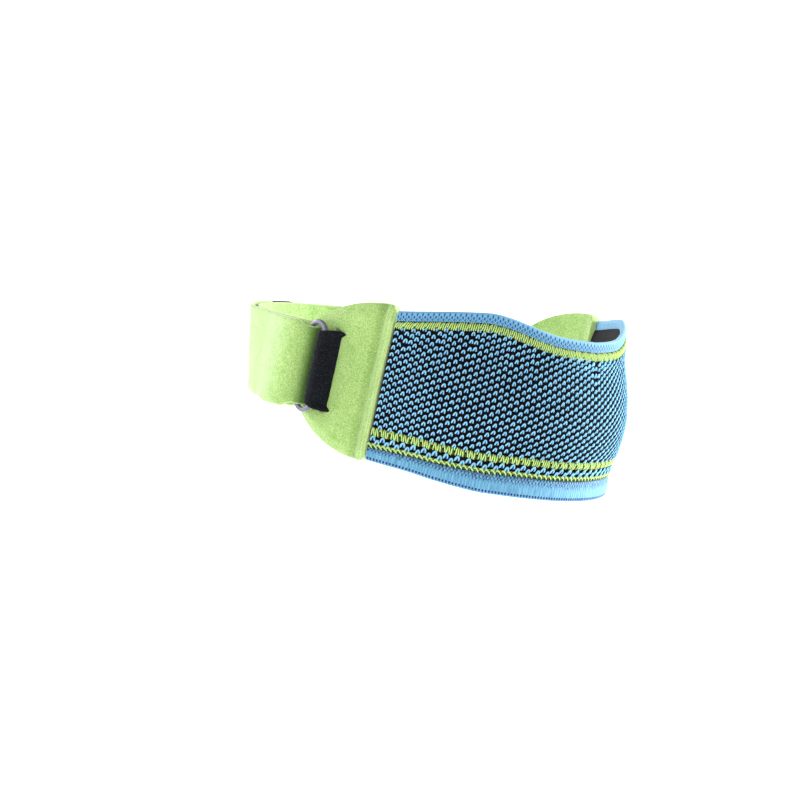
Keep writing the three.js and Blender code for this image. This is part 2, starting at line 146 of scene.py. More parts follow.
def along(table, key, column, at):
    """Smooth value of a table's column: a cubic between rows, sloped by their neighbours."""
    keys = np.array(table[key], float)
    values = np.array(table[column], float)
    last = len(keys) - 1
    x = np.clip(at, keys[0], keys[last])
    b = np.clip(np.searchsorted(keys, x), 1, last)
    a = b - 1
    before, after = np.maximum(b - 2, 0), np.minimum(b + 1, last)
    slope_a = (values[b] - values[before]) / (keys[b] - keys[before])
    slope_b = (values[after] - values[a]) / (keys[after] - keys[a])
    span = keys[b] - keys[a]
    t = (x - keys[a]) / span
    return (
        (2 * t**3 - 3 * t**2 + 1) * values[a]
        + (t**3 - 2 * t**2 + t) * span * slope_a
        + (3 * t**2 - 2 * t**3) * values[b]
        + (t**3 - t**2) * span * slope_b
    )


def on_table(table, column, length):
    """Value of a table's column where a length has come to: its angle as a share of the seam's."""
    return along(table, "angle", column, np.abs(angle_at(length)) / seam_angle)


def top_edge(length):
    return band_rise * on_table(edge_shares, "top", length)


def bottom_edge(length):
    return -band_drop * on_table(edge_shares, "bottom", length)


def hem_top(length):
    """Where the knit meets the hem: the bottom edge raised by the hem's height."""
    return bottom_edge(length) + hem_height * on_table(edge_shares, "hem", length)


def rim_bottom(length):
    return top_edge(length) - rim_height


def face_offset(length, height):
    """How far the face lies off the oval: minus the tuck of the belly, faded towards the ears."""
    edge = np.where(height > 0, top_edge(length), -bottom_edge(length))
    belly = along(belly_shares, "height", "tuck", height / edge)
    return -top_tuck * belly * on_table(fade_shares, "belly", length)


print(f"band {(top_edge(0.0) - bottom_edge(0.0)) / MM:.1f} mm high in front")

# %% [markdown]
# ## Making a mesh from arrays
# A surface is a grid of points worked out all at once. Two helpers make a closed mesh of such
# grids: one numbers the four-sided faces, the other writes the arrays into a mesh and turns it
# right side out by the sign of its volume.

# %% Grids, profiles and pieces


def grid_faces(rows, columns, wrap):
    """Four-sided faces of a grid of points; wrap joins its last column to its first."""
    count = columns if wrap else columns - 1
    row, column = np.meshgrid(np.arange(rows - 1), np.arange(count), indexing="ij")
    beside = (column + 1) % columns
    here, above = row * columns, (row + 1) * columns
    faces = np.stack([here + column, here + beside, above + beside, above + column], axis=-1)
    return faces.reshape(-1, 4)


def volume_of(points, face_sets):
    """Signed volume: each face is fanned into triangles, and a . (b x c) / 6 is summed."""
    total = 0.0
    for faces in face_sets:
        for k in range(1, faces.shape[1] - 1):
            a, b, c = points[faces[:, 0]], points[faces[:, k]], points[faces[:, k + 1]]
            total += float((a * np.cross(b, c)).sum()) / 6
    return total


def add_object(name, data):
    """A new object of the scene that shows a mesh, a light or a camera."""
    shown = bpy.data.objects.new(name, data)
    bpy.context.scene.collection.objects.link(shown)
    return shown


def make_piece(name, points, face_sets, finish, slot=None, uv=None, fields=None):
    """A mesh object from arrays: corners, face sizes, a map pair and any field for each point."""
    points = points.reshape(-1, 3)
    middle = points.mean(axis=0)
    if volume_of(points - middle, face_sets) < 0:
        face_sets = [faces[:, ::-1] for faces in face_sets]
    corners = np.concatenate([faces.reshape(-1) for faces in face_sets]).astype(np.int32)
    sizes = np.concatenate([np.full(len(faces), faces.shape[1]) for faces in face_sets])
    starts = np.concatenate([[0], np.cumsum(sizes)[:-1]]).astype(np.int32)
    mesh = bpy.data.meshes.new(name)
    mesh.vertices.add(len(points))
    mesh.vertices.foreach_set("co", points.astype(np.float32).ravel())
    mesh.loops.add(len(corners))
    mesh.loops.foreach_set("vertex_index", corners)
    mesh.polygons.add(len(sizes))
    mesh.polygons.foreach_set("loop_start", starts)
    mesh.polygons.foreach_set("use_smooth", np.ones(len(sizes), bool))
    mesh.update(calc_edges=True)
    if uv is not None:
        layer = mesh.uv_layers.new(name="cloth")
        layer.data.foreach_set("uv", uv.reshape(-1, 2)[corners].astype(np.float32).ravel())
    for field, values in (fields or {}).items():
        attribute = mesh.attributes.new(field, "FLOAT", "POINT")
        attribute.data.foreach_set("value", values.astype(np.float32).ravel())
    piece = add_object(name, mesh)
    if finish is not None:
        mesh.materials.append(finish.material)
    if slot is not None:
        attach(piece, "root")
    triangles = int((sizes - 2).sum())
    print(f"{name}: {len(points)} points, {triangles} triangles")
    return piece


def shell_faces(stations, rows):
    """Faces of a wall: outer rows up, inner rows down, wrapped round, and a strip at each end."""
    ring = 2 * rows
    sides = grid_faces(stations, ring, wrap=True)
    j = np.arange(rows - 1)
    first = np.stack([j + 1, j, ring - 1 - j, ring - 2 - j], axis=-1)
    last = (stations - 1) * ring + first[:, ::-1]
    return [sides, first, last]


def bar_profile(outer_steps, inner_steps, round_steps):
    """The outline of a flat bar with round edges: place along its core, and direction off it."""
    face = np.linspace(-1, 1, outer_steps)
    back = np.linspace(1, -1, inner_steps)
    turn = np.linspace(np.pi / 2, -np.pi / 2, round_steps + 2)[1:-1]
    core = np.concatenate([face, np.ones(round_steps), back, -np.ones(round_steps)])
    up = np.concatenate([0 * face, np.cos(turn), 0 * back, -np.cos(turn)])
    out = np.concatenate([0 * face + 1, np.sin(turn), 0 * back - 1, -np.sin(turn)])
    return core, up, out


def bar_faces(stations, ring):
    """Faces of a bar carried along: its sides, and one face across each end."""
    sides = grid_faces(stations, ring, wrap=True)
    first = np.arange(ring)[None, ::-1]
    last = (stations - 1) * ring + np.arange(ring)[None, :]
    return [sides, first, last]


def round_wall(outer, inner):
    """A wall's rows in one ring: up the outer face and down the inner one."""
    return np.concatenate([outer, inner[:, ::-1]], axis=1)


def smooth_step(value, low, high):
    """0 below low, 1 above high, and a smooth cubic between."""
    t = np.clip((value - low) / (high - low), 0, 1)
    return t * t * (3 - 2 * t)


# %% [markdown]
# ## Writing materials as sums
# A material's nodes are easier to read as arithmetic. A small class wraps one socket, so that
# adding or multiplying two of them adds the Math node for it. A second class holds one material
# and adds every other node through a single method.

# %% Signals and finishes


class Signal:
    """One output of a material's nodes; arithmetic on it adds Math nodes."""

    def __init__(self, finish, socket):
        self.finish = finish
        self.socket = socket

    def maths(self, operation, first, second=0.0):
        return self.finish.node("ShaderNodeMath", {"operation": operation}, {0: first, 1: second})

    def __add__(self, other):
        return self.maths("ADD", self, other)

    def __sub__(self, other):
        return self.maths("SUBTRACT", self, other)

    def __rsub__(self, other):
        return self.maths("SUBTRACT", other, self)

    def __mul__(self, other):
        return self.maths("MULTIPLY", self, other)

    def __truediv__(self, other):
        return self.maths("DIVIDE", self, other)

    def __pow__(self, power):
        return self.maths("POWER", self, power)

    def apart(self):
        """Distance to the nearest whole number, from 0 to a half."""
        return self.maths("PINGPONG", self, 0.5)

    def wave(self):
        """A sine that repeats with each whole number, from 0 to 1."""
        return self.maths("SINE", self * (2 * math.pi)) * 0.5 + 0.5

    def larger(self, other):
        return self.maths("MAXIMUM", self, other)


class Finish:
    """A material: node() adds any node, and shade() fills the sockets of its shader."""

    def __init__(self, name):
        self.material = bpy.data.materials.new(name)
        self.material.use_nodes = True
        self.tree = self.material.node_tree
        self.shader = self.tree.nodes["Principled BSDF"]

    def plug(self, socket, value):
        if isinstance(value, Signal):
            self.tree.links.new(value.socket, socket)
        else:
            socket.default_value = value

    def node(self, kind, settings=None, inputs=None, output=0):
        node = self.tree.nodes.new(kind)
        for setting, value in (settings or {}).items():
            setattr(node, setting, value)
        for socket, value in (inputs or {}).items():
            self.plug(node.inputs[socket], value)
        return Signal(self, node.outputs[output])

    def shade(self, sockets):
        for socket, value in sockets.items():
            self.plug(self.shader.inputs[socket], value)

    def mapped(self):
        """The piece's own map as two numbers."""
        pair = self.node("ShaderNodeUVMap", {"uv_map": "cloth"})
        return [self.node("ShaderNodeSeparateXYZ", inputs={0: pair}, output=k) for k in (0, 1)]

    def field(self, name):
        return self.node("ShaderNodeAttribute", {"attribute_name": name}, output=2)

    def soft(self, value, low, high):
        settings = {"interpolation_type": "SMOOTHSTEP"}
        return self.node("ShaderNodeMapRange", settings, {0: value, 1: low, 2: high})

    def mix(self, factor, first, second):
        inputs = {0: factor, 6: first, 7: second}
        return self.node("ShaderNodeMix", {"data_type": "RGBA"}, inputs, output=2)

    def vector(self, x, y):
        return self.node("ShaderNodeCombineXYZ", inputs={0: x, 1: y})

    def noise(self, grain, detail=2.0, vector=None):
        """Smooth noise with lumps about one grain across, in metres unless a vector is given."""
        place_in = vector or self.node("ShaderNodeTexCoord", output=3)
        inputs = {"Vector": place_in, "Scale": 1 / grain, "Detail": detail}
        return self.node("ShaderNodeTexNoise", inputs=inputs)

    def bump(self, height, distance):
        inputs = {"Strength": 1.0, "Distance": distance, "Height": height}
        return self.node("ShaderNodeBump", inputs=inputs)


def srgb(red, green, blue):
    """A colour as a screen shows it, 0 to 255, as the linear numbers that a shader takes."""
    shares = np.array([red, green, blue]) / 255
    linear = np.where(shares < 0.04045, shares / 12.92, ((shares + 0.055) / 1.055) ** 2.4)
    return (*linear.tolist(), 1.0)


# %% [markdown]
# ## Yarn
# Real yarn is a few plies twisted together, with a soft halo. Twist shows as fine slanting lines
# along the strand. Each strand carries its own map, length along it and turn around it, so the
# slant follows every loop. Light is painted on each strand's crown and shade on its sides. A
# random number for each stitch shifts its tone a little, and a low number, given to strands that
# lie deep, paints them in shade.

# %% Yarn and knit finishes
yarn_lay = 0.5 * MM


def yarn_finish(name, light, deep, sheen, gloss=0.3):
    """Painted light on the crown and painted shade at the sides, broken up by the plies' slant."""
    yarn = Finish(name)
    run, turn = yarn.mapped()
    ply = (run * (MM / yarn_lay) + turn * 2.0).wave()
    fibre = yarn.noise(0.12 * MM, 2.0)
    painted_crown_light = yarn.field("painted_crown_light")
    shade = painted_crown_light * 1.1 + ply * 0.2 + fibre * 0.4 + yarn.field("tone_and_shade") * 0.3 - 0.55
    yarn.shade({
        "Base Color": yarn.mix(yarn.soft(shade, 0.15, 0.9), deep, light),
        "Roughness": 0.8,
        "Specular IOR Level": gloss,
        "Sheen Weight": sheen,
        "Sheen Roughness": 0.4,
        "Normal": yarn.bump(ply * 0.7 + fibre * 0.3, 0.05 * MM),
    })
    return yarn


sky_yarn = yarn_finish("sky_yarn", srgb(136, 203, 236), srgb(28, 62, 128), 0.25)
lime_yarn = yarn_finish("lime_yarn", srgb(190, 220, 127), srgb(32, 70, 8), 0.25)
dark_yarn = yarn_finish("dark_yarn", srgb(12, 8, 15), srgb(3, 2, 5), 0.0, 0.12)

ground_knit = Finish("ground_knit")
rib_run, rib_rise = ground_knit.mapped()
rib = (rib_run * 2.0).wave() * 0.5 + (rib_rise * 1.5 + rib_run).wave() * 0.5
ground_knit.shade({
    "Base Color": ground_knit.mix(rib, srgb(3, 2, 7), srgb(14, 10, 20)),
    "Roughness": 0.9,
    "Specular IOR Level": 0.2,
    "Normal": ground_knit.bump(rib, 0.15 * MM),
})
print("yarn finishes made")

# %% [markdown]
# ## The pad under the knit
# The band is padded in front, and a pad is never quite as flat as its pattern. Cloth simulation
# finds that: the pad's closed mesh is held at its borders and blown up a little, and the outward
# movement is kept as a small grid. The knit and every stitch on it are then raised by that grid.
# The mesh is already an even grid, so it isn't remeshed first.

# %% Blow up the pad
pad_stations = 49
pad_rows = 13
swell_cap = 0.5 * MM
pad_frames = 20
pad_settings = {
    "vertex_group_mass": "held", "use_pressure": True, "uniform_pressure_force": 4,
    "mass": 0.1, "tension_stiffness": 4, "compression_stiffness": 4, "shear_stiffness": 2,
}


def pad_depth(length, share):
    """Thickness of the knit and pad: thin at both borders, full between, flat-topped."""
    full = on_table(fade_shares, "pad", length)
    middle = band_end_thickness + (pad_thickness - band_end_thickness) * full
    border = hem_thickness + (rim_thickness - hem_thickness) * share
    return border + (middle - border) * (1 - (2 * share - 1) ** 4)


def pad_height(length, share):
    low, high = hem_top(length) - clearance, rim_bottom(length) + clearance
    return low + (high - low) * share


def blown_pad():
    """Outward movement of the pad's face after cloth simulation, on a grid of length and share."""
    length = np.linspace(-seam_length, seam_length, pad_stations)[:, None]
    share = np.linspace(0, 1, pad_rows)[None, :]
    height = pad_height(length, share)
    face = face_offset(length, height)
    outer = place(length, height, face)
    inner = place(length, height, face - pad_depth(length, share))
    points = round_wall(outer, inner)
    pad = make_piece("pad_for_cloth", points, shell_faces(pad_stations, pad_rows), None)
    free = np.zeros((pad_stations, 2 * pad_rows), bool)
    free[1:-1, 1:pad_rows - 1] = True
    held = pad.vertex_groups.new(name="held")
    held.add(np.flatnonzero(~free).tolist(), 1.0, "REPLACE")
    cloth = pad.modifiers.new("cloth", "CLOTH")
    for setting, value in pad_settings.items():
        setattr(cloth.settings, setting, value)
    cloth.settings.effector_weights.gravity = 0
    cloth.point_cache.frame_end = pad_frames
    for step in range(1, pad_frames + 1):
        bpy.context.scene.frame_set(step)
    moved_mesh = pad.evaluated_get(bpy.context.evaluated_depsgraph_get()).to_mesh()
    moved = np.zeros(len(moved_mesh.vertices) * 3, np.float32)
    moved_mesh.vertices.foreach_get("co", moved)
    moved = moved.reshape(pad_stations, 2 * pad_rows, 3)[:, :pad_rows]
    out_x, out_y = outward(angle_at(length))
    risen = (moved[..., 0] - outer[..., 0]) * out_x + (moved[..., 1] - outer[..., 1]) * out_y
    bpy.data.objects.remove(pad)
    bpy.context.scene.frame_set(1)
    print(f"cloth moved the pad's face by up to {risen.max() / MM:.2f} mm")
    return swell_cap * np.tanh(np.maximum(risen, 0) / swell_cap)


swell_grid = blown_pad()


def swell(length, height):
    """The pad's rise at a place, between the four nearest points of the simulated grid."""
    low, high = pad_height(length, 0.0), pad_height(length, 1.0)
    row = np.clip((height - low) / (high - low), 0, 1) * (pad_rows - 1)
    station = np.clip((length + seam_length) / (2 * seam_length), 0, 1) * (pad_stations - 1)
    i = np.minimum(station.astype(int), pad_stations - 2)
    j = np.minimum(row.astype(int), pad_rows - 2)
    a, b = station - i, row - j
    near = swell_grid[i, j] * (1 - b) + swell_grid[i, j + 1] * b
    far = swell_grid[i + 1, j] * (1 - b) + swell_grid[i + 1, j + 1] * b
    return near * (1 - a) + far * a


def on_band(length, height, lift):
    """A point of the band, lifted off its swollen face."""
    length, height = np.broadcast_arrays(length, height)
    return place(length, height, face_offset(length, height) + swell(length, height) + lift)


# %% [markdown]
# ## The columns of the knit
# A flat knit is a grid of columns and rows. Columns are a little closer beside the ears than in
# front. Counting columns instead of millimetres keeps rim, stripes and stitches in step.

# %% Columns
column_pitch = 1.77 * MM
end_pitch = 1.55 * MM
end_stretch = 28 * MM
band_end = seam_length - clearance

column_samples = np.linspace(0, seam_length, 2001)
narrowing = smooth_step(column_samples, seam_length - end_stretch, seam_length)
column_density = 1 / (column_pitch + (end_pitch - column_pitch) * narrowing)
column_counts = np.concatenate([[0], np.cumsum(column_density[1:] * np.diff(column_samples))])


def column_at(length):
    return np.sign(length) * np.interp(np.abs(length), column_samples, column_counts)


def length_of(column):
    return np.sign(column) * np.interp(np.abs(column), column_counts, column_samples)


last_column = float(column_at(band_end))
print(f"{2 * last_column:.0f} columns across the band")

# %% [markdown]
# ## The dark ground
# Behind the blue stitches lies a black knit, seen only in the gaps between them. It is the wall
# that replaces the model's plain panel, with the pad's thickness and a fine rib.

# %% Ground
ground_sink = 0.25 * MM
ground_rib = 0.06 * MM


def ground():
    """Outer face on the band, sunk a little and ribbed by columns; inner face a pad's depth in."""
    stations, rows = 300, 72
    length = np.linspace(-band_end, band_end, stations)[:, None]
    share = np.linspace(0, 1, rows)[None, :]
    height = pad_height(length, share)
    rib_wave = ground_rib * np.cos(2 * np.pi * 2 * column_at(length))
    outer = on_band(length, height, rib_wave - ground_sink)
    depth = face_offset(length, height) - pad_depth(length, share)
    inner = place(length, height, depth)
    points = round_wall(outer, inner)
    column = np.broadcast_to(column_at(length), height.shape)
    pair = np.stack([column, height / MM], axis=-1)
    uv = round_wall(pair, pair)
    return make_piece("knit_ground", points, shell_faces(stations, rows), ground_knit, "knit", uv)


ground_piece = ground()
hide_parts("knit_panel")

# %% [markdown]
# ## Stitches, one by one
# A stitch is a short strand bent into an arch. It could be a bump in a material, but then its
# silhouette and shadows would be missing, so one small arch is modelled and laid hundreds of
# times. A short table gives its path: across, up and out of the cloth, and its thickness.
# All copies are one array, bent round the oval by the same function as the band.

# %% Strands and how they are laid


def strand(rows, rings, sides):
    """A tube through given rows of (across, up, out, radius), in millimetres of the cloth."""
    table = dict(zip(("across", "up", "out", "radius"), np.array(rows, float).T))
    table["row"] = np.arange(len(rows))
    at = np.linspace(0, len(rows) - 1, rings)
    path = np.stack([along(table, "row", name, at) for name in ("across", "up", "out")], axis=-1)
    radius = along(table, "row", "radius", at)
    onward = np.gradient(path, axis=0)
    onward /= np.linalg.norm(onward, axis=1)[:, None]
    side = np.cross(onward, [0, 0, 1])
    side /= np.linalg.norm(side, axis=1)[:, None]
    over = np.cross(side, onward)
    turn = np.linspace(0, 2 * np.pi, sides, endpoint=False)
    around = side[:, None] * np.cos(turn)[:, None] + over[:, None] * np.sin(turn)[:, None]
    points = path[:, None] + around * radius[:, None, None]
    run = np.concatenate([[0], np.cumsum(np.linalg.norm(np.diff(path, axis=0), axis=1))])
    uv = np.stack(np.broadcast_arrays(run[:, None], turn[None, :] / (2 * np.pi)), axis=-1)
    # Painted light: high on the strand's outer crown, low at its sides, which are painted in shade
    painted_crown_light = np.broadcast_to(0.5 + 0.5 * np.sin(turn) - 0.15 * np.cos(turn), points.shape[:2])
    return points.reshape(-1, 3) * MM, bar_faces(rings, sides), uv.reshape(-1, 2), painted_crown_light.ravel()


def lay(name, shape, length, height, finish, lean=0.0, wide=1.0, tall=1.0, lift=0.0, tone_and_shade=None):
    """Copies of one strand: each is scaled, leaned and put at its length and height."""
    points, face_sets, uv, painted_crown_light = shape
    count = len(length)
    lean, wide, tall, lift = (np.broadcast_to(v, count)[:, None] for v in (lean, wide, tall, lift))
    across, up = points[None, :, 0] * wide, points[None, :, 1] * tall
    u = across * np.cos(lean) - up * np.sin(lean)
    v = across * np.sin(lean) + up * np.cos(lean)
    placed = on_band(length[:, None] + u, height[:, None] + v, points[None, :, 2] + lift)
    first = (np.arange(count) * len(points))[:, None, None]
    faces = [(first + f[None]).reshape(-1, f.shape[1]) for f in face_sets]
    tone_and_shade = chance.random(count) if tone_and_shade is None else tone_and_shade
    fields = {"tone_and_shade": np.repeat(tone_and_shade, len(points)), "painted_crown_light": np.tile(painted_crown_light, count)}
    return make_piece(name, placed, faces, finish, "knit", np.tile(uv, (count, 1)), fields)


arch = strand([
    (-0.58, -0.72, -0.24, 0.16),
    (-0.49, -0.52, 0.10, 0.24),
    (-0.38, -0.12, 0.26, 0.27),
    (-0.21, 0.24, 0.33, 0.25),
    (0.06, 0.54, 0.30, 0.22),
    (0.29, 0.20, 0.27, 0.23),
    (0.37, -0.16, 0.20, 0.23),
    (0.42, -0.44, 0.05, 0.20),
    (0.45, -0.60, -0.24, 0.14),
], 10, 6)

# %% [markdown]
# ## The two-tone field
# Stitches stand in a brick pattern: each column is half a row off its neighbours. Rows run along
# the lower stripe. The band is taller at its crests, so the knitter adds a row there, and the top
# rows close up around each added one. That is worked out by stretching the upper rows to fill
# the height with a whole number of rows, which jumps by one where the band has grown enough.
# The last stitches slip under the upper stripe. A short strand, sunk deeper, fills the heart of
# each arch, as the blue yarn does where it dives back into the cloth; its colour is painted shade.

# %% Field of stitches
row_pitch = 2.13 * MM
chain_height = 1.3 * MM
between_height = 2.1 * MM
lower_green = 2.5 * MM
upper_green = 2.15 * MM
first_stitch = 0.45 * MM
most_columns, most_rows = 60, 24  # more than the band holds; the rest is dropped
side_margin = 0.35  # columns kept free beside each ear
closing_rows = 2.6  # rows under the stripe that an added row disturbs
closing_power = 6  # how much of the stretch falls to the top rows
added_from = 0.08  # how early a row is added, in rows
jump_width = 0.09  # how near to the jump a stitch is uneven, in rows
tucked = 0.9 * MM  # how far the rows run on behind the stripe
slip_height = 0.3 * MM  # half the height over which a stitch slips under the stripe
tuck_depth = 0.36 * MM
stray = 0.035 * MM
heart_shade = -3.0  # painted shade: the heart lies deep in the arch's notch
heart_sink = 0.18 * MM
heart_tuck = 0.3 * MM
cord_drop = 1.05 * MM


def field_low(length):
    return hem_top(length) + chain_height + between_height + lower_green


def green_low(length):
    """Lower edge of the upper stripe, which is a little taller beside the ears."""
    wider = 0.5 * MM * smooth_step(np.abs(length), seam_length - end_stretch, seam_length)
    return rim_bottom(length) - upper_green - wider


def field_places():
    """Length, height and unevenness of every stitch of the field."""
    columns = np.arange(-most_columns, most_columns + 1)
    column, row = np.meshgrid(columns, np.arange(most_rows), indexing="ij")
    column, row = column.ravel(), row.ravel().astype(float)
    inside = np.abs(column) < last_column - side_margin
    column, row = column[inside], row[inside]
    length = length_of(column.astype(float))
    low = field_low(length)
    tall = green_low(length) - low
    rise = first_stitch + (row + 0.5 * (column % 2)) * row_pitch
    added = tall / row_pitch + added_from
    stretch = tall - np.round(added) * row_pitch
    jump = np.abs(added - np.floor(added) - 0.5)
    near_top = rise > tall - closing_rows * row_pitch
    rise = rise + stretch * (rise / tall) ** closing_power
    uneven = near_top * np.clip(1 - jump / jump_width, 0, 1)
    keep = rise < tall + tucked
    under = smooth_step(rise, tall - slip_height, tall + slip_height)
    return length[keep], (low + rise)[keep], uneven[keep], under[keep]


field_length, field_height, field_uneven, field_under = field_places()
field_count = len(field_length)
jitter = chance.normal(size=(5, field_count))
looseness = 1 + 1.6 * field_uneven
lay(
    "field_stitches", arch,
    field_length + stray * jitter[0] * looseness,
    field_height + stray * jitter[1] * looseness,
    sky_yarn,
    lean=0.05 * jitter[2] * looseness - 0.06,
    wide=1.0 + 0.04 * jitter[3] * looseness,
    tall=1.03 + 0.04 * jitter[4] * looseness,
    lift=-tuck_depth * field_under,
)

heart = strand([
    (-0.08, 0.20, 0.05, 0.20),
    (0.06, -0.30, 0.16, 0.27),
    (0.34, -0.92, 0.00, 0.20),
], 4, 5)
# The hearts' low tone numbers paint them in shade
lay(
    "stitch_hearts", heart, field_length, field_height, sky_yarn,
    lift=-heart_sink - heart_tuck * field_under,
    tone_and_shade=np.full(field_count, heart_shade) + 0.9 * chance.random(field_count),
)

# %% [markdown]
# ## Dark cords between the stitches
# The black yarn crosses behind the blue in short diagonals. They fill the gaps with a real relief,
# so light catches an edge here and there instead of falling on a flat black.

# %% Dark cords
cord = strand([
    (-0.88, -0.55, -0.16, 0.17),
    (-0.30, -0.18, 0.02, 0.19),
    (0.30, 0.18, 0.02, 0.19),
    (0.88, 0.55, -0.16, 0.17),
], 5, 4)
cord_lengths = np.concatenate([field_length, field_length])
cord_heights = np.concatenate([field_height, field_height]) - cord_drop
cord_side = np.repeat([1.0, -1.0], field_count)
lay(
    "dark_cords", cord, cord_lengths, cord_heights, dark_yarn,
    wide=cord_side, lift=np.repeat([0.02, 0.08], field_count) * MM,
)

# %% [markdown]
# ## Green stripes
# Three green courses cross the band: a close row of upright loops under the rim, a zigzag row
# over the hem, and a thin slanting chain. Each is one short strand laid again and again. Two
# columns make one group, and its first strand is cut short, which leaves the dark notches.

# %% Green stripes
strands_per_column = 2.5
group_columns = 2.0
strands_per_group = strands_per_column * group_columns
backing_sink = 0.13 * MM
# Tone number of the deeper layer behind the strands: painted shade
backing_shade = -1.8
top_cut = 0.75  # how far notch 1 shortens the first strand, and the one behind it
foot_cut = 0.7


def stripe_places(spacing):
    """Even places along the band, counted in columns, and each one's share through its group."""
    column = np.arange(-last_column + 0.25, last_column - 0.2, 1 / spacing)
    return length_of(column), (column / group_columns) % 1.0


upright = strand([
    (0.05, -1.10, -0.16, 0.13),
    (-0.04, -0.78, 0.16, 0.20),
    (0.04, -0.20, 0.26, 0.22),
    (-0.03, 0.35, 0.24, 0.21),
    (0.04, 0.80, 0.16, 0.20),
    (0.05, 1.10, -0.14, 0.13),
], 9, 7)


def stripe(name, middle, lean, tall, notch, step):
    """Upright strands in groups, and a deeper layer half a strand aside behind them, painted in
    shade.

    The first strand of a group is cut to its top, and the one behind it to its foot, by the
    share of notch. The hole between them shows the dark ground. Each group steps down as it goes.
    """
    length, group = stripe_places(strands_per_column)
    count = len(length)
    order = np.round(group * strands_per_group) % strands_per_group
    even = np.arange(count) % 2
    first = notch * (order == 0)
    down = step * (group - 0.5)
    uneven = chance.normal(size=(2, count))
    behind = length + 0.5 * column_pitch / strands_per_column
    lay(
        name, upright, np.concatenate([length, behind]),
        np.concatenate([middle(length) + (top_cut * first - down) * MM,
                        middle(behind) - (0.9 * first + down) * MM]), lime_yarn,
        lean=np.concatenate([lean(length, even) + 0.07 * uneven[0], np.zeros(count)]),
        tall=np.concatenate([tall - top_cut * first + 0.06 * uneven[1],
                             tall - 0.12 - foot_cut * first]),
        lift=np.repeat([0.0, -backing_sink], count),
        wide=np.repeat([1.0, 1.4], count),
        tone_and_shade=np.concatenate([chance.random(count), np.full(count, backing_shade)]),
    )


def upper_lean(length, even):
    beside_ear = smooth_step(np.abs(length), seam_length - 16 * MM, seam_length)
    return (0.1 + 0.32 * beside_ear) * np.sign(length) - 0.08 * even


stripe(
    "upper_stripe", lambda length: rim_bottom(length) - upper_green / 2 + 0.1 * MM,
    upper_lean, tall=1.08, notch=0.25, step=0.4,
)
stripe(
    "lower_stripe",
    lambda length: hem_top(length) + chain_height + between_height + lower_green / 2,
    lambda length, even: 0.26 * even - 0.06, tall=1.1, notch=0.85, step=0.4,
)

chain_link = strand([
    (-0.82, -0.34, -0.15, 0.16),
    (-0.62, 0.14, 0.15, 0.26),
    (-0.28, 0.40, 0.30, 0.29),
    (0.12, 0.22, 0.34, 0.28),
    (0.48, -0.16, 0.28, 0.26),
    (0.82, -0.54, 0.12, 0.22),
    (1.04, -0.76, -0.15, 0.14),
], 9, 7)
chain_length, _ = stripe_places(1.0)
chain_count = len(chain_length)
chain_behind = chain_length + 0.5 * column_pitch
chain_at = np.concatenate([chain_length, chain_behind])
# The chain's second layer, behind, is painted in shade by its low tone number
lay(
    "thin_chain", chain_link, chain_at,
    hem_top(chain_at) + chain_height / 2 + np.repeat([-0.05, 0.0], chain_count) * MM,
    lime_yarn, lean=0.06 * chance.normal(size=2 * chain_count),
    lift=np.repeat([0.0, -0.2], chain_count) * MM,
    tone_and_shade=np.concatenate([chance.random(chain_count), np.full(chain_count, -1.5)]),
)

# %% [markdown]
# ## The narrow row between the green courses
# Two staggered rows of blue show between the zigzag and the chain: long stitches in every second
# column, and between them the caps of stitches that the chain half covers.

# %% Narrow row
row_columns = np.arange(-np.floor(last_column), np.floor(last_column) + 1)
long_ones = row_columns[row_columns % 2 == 1]
caps = row_columns[row_columns % 2 == 0]
narrow_column = np.concatenate([long_ones, caps])
narrow_length = length_of(narrow_column)
is_long = narrow_column % 2 == 1
narrow_rise = np.where(is_long, between_height - 0.66 * MM, 0.42 * MM)
narrow_height = hem_top(narrow_length) + chain_height + narrow_rise
# These hearts too are painted in shade by a low tone number
lay(
    "narrow_hearts", heart, narrow_length, narrow_height, sky_yarn, wide=1.2, lift=-0.12 * MM,
    tone_and_shade=np.full(len(narrow_length), -2.4),
)
lay(
    "narrow_row", arch, narrow_length, narrow_height,
    sky_yarn, wide=np.where(is_long, 1.3, 1.25), tall=1.25,
)

# %% [markdown]
# ## Rim and hem
# Both edges are elastic knit in plain sky blue. The rim is a roll with three rows of small holes,
# one for each column. The hem is wider: smooth ribs, a row of dark purl specks at its top, and a
# close row of holes just above its lower lip. The holes are pressed into the mesh, and the
# material paints shade into the same places, because it reads the same map of columns and
# millimetres.

# %% Edging
hole_pitch = 1.05 * MM
rim_dent = 0.22 * MM
hem_dent = 0.3 * MM
# Each row of holes: its height in mm, its shift in columns, and the half width in columns and
# half height in mm of one hole
rim_hole_rows = [(2.45, 0.0, 0.17, 0.56), (1.7, 0.5, 0.16, 0.48), (1.0, 0.0, 0.13, 0.36)]
hem_hole_height, hem_hole_wide, hem_hole_tall = 1.0, 0.34, 0.44
# Navy of the purl specks, also used as painted shade in the holes
navy_and_hole_shade = srgb(10, 36, 104)


def spot(across, up, wide, tall):
    """1 in the middle of an oval, 0 on its edge and less beyond."""
    return 1 - (across / wide) ** 2 - (up / tall) ** 2


def from_whole(value):
    return np.abs(value - np.round(value))


def rim_holes(column, rise):
    """Depth of the rim's holes, 0 to 1: ovals at each column, staggered from row to row."""
    depth = [
        spot(from_whole(column + shift), rise - middle, wide, tall)
        for middle, shift, wide, tall in rim_hole_rows
    ]
    return np.maximum(np.max(depth, axis=0), 0)


def hem_holes(hole, rise):
    """Depth of the hem's holes, 0 to 1: one row of ovals."""
    depth = spot(from_whole(hole), rise - hem_hole_height, hem_hole_wide, hem_hole_tall)
    return np.maximum(depth, 0)


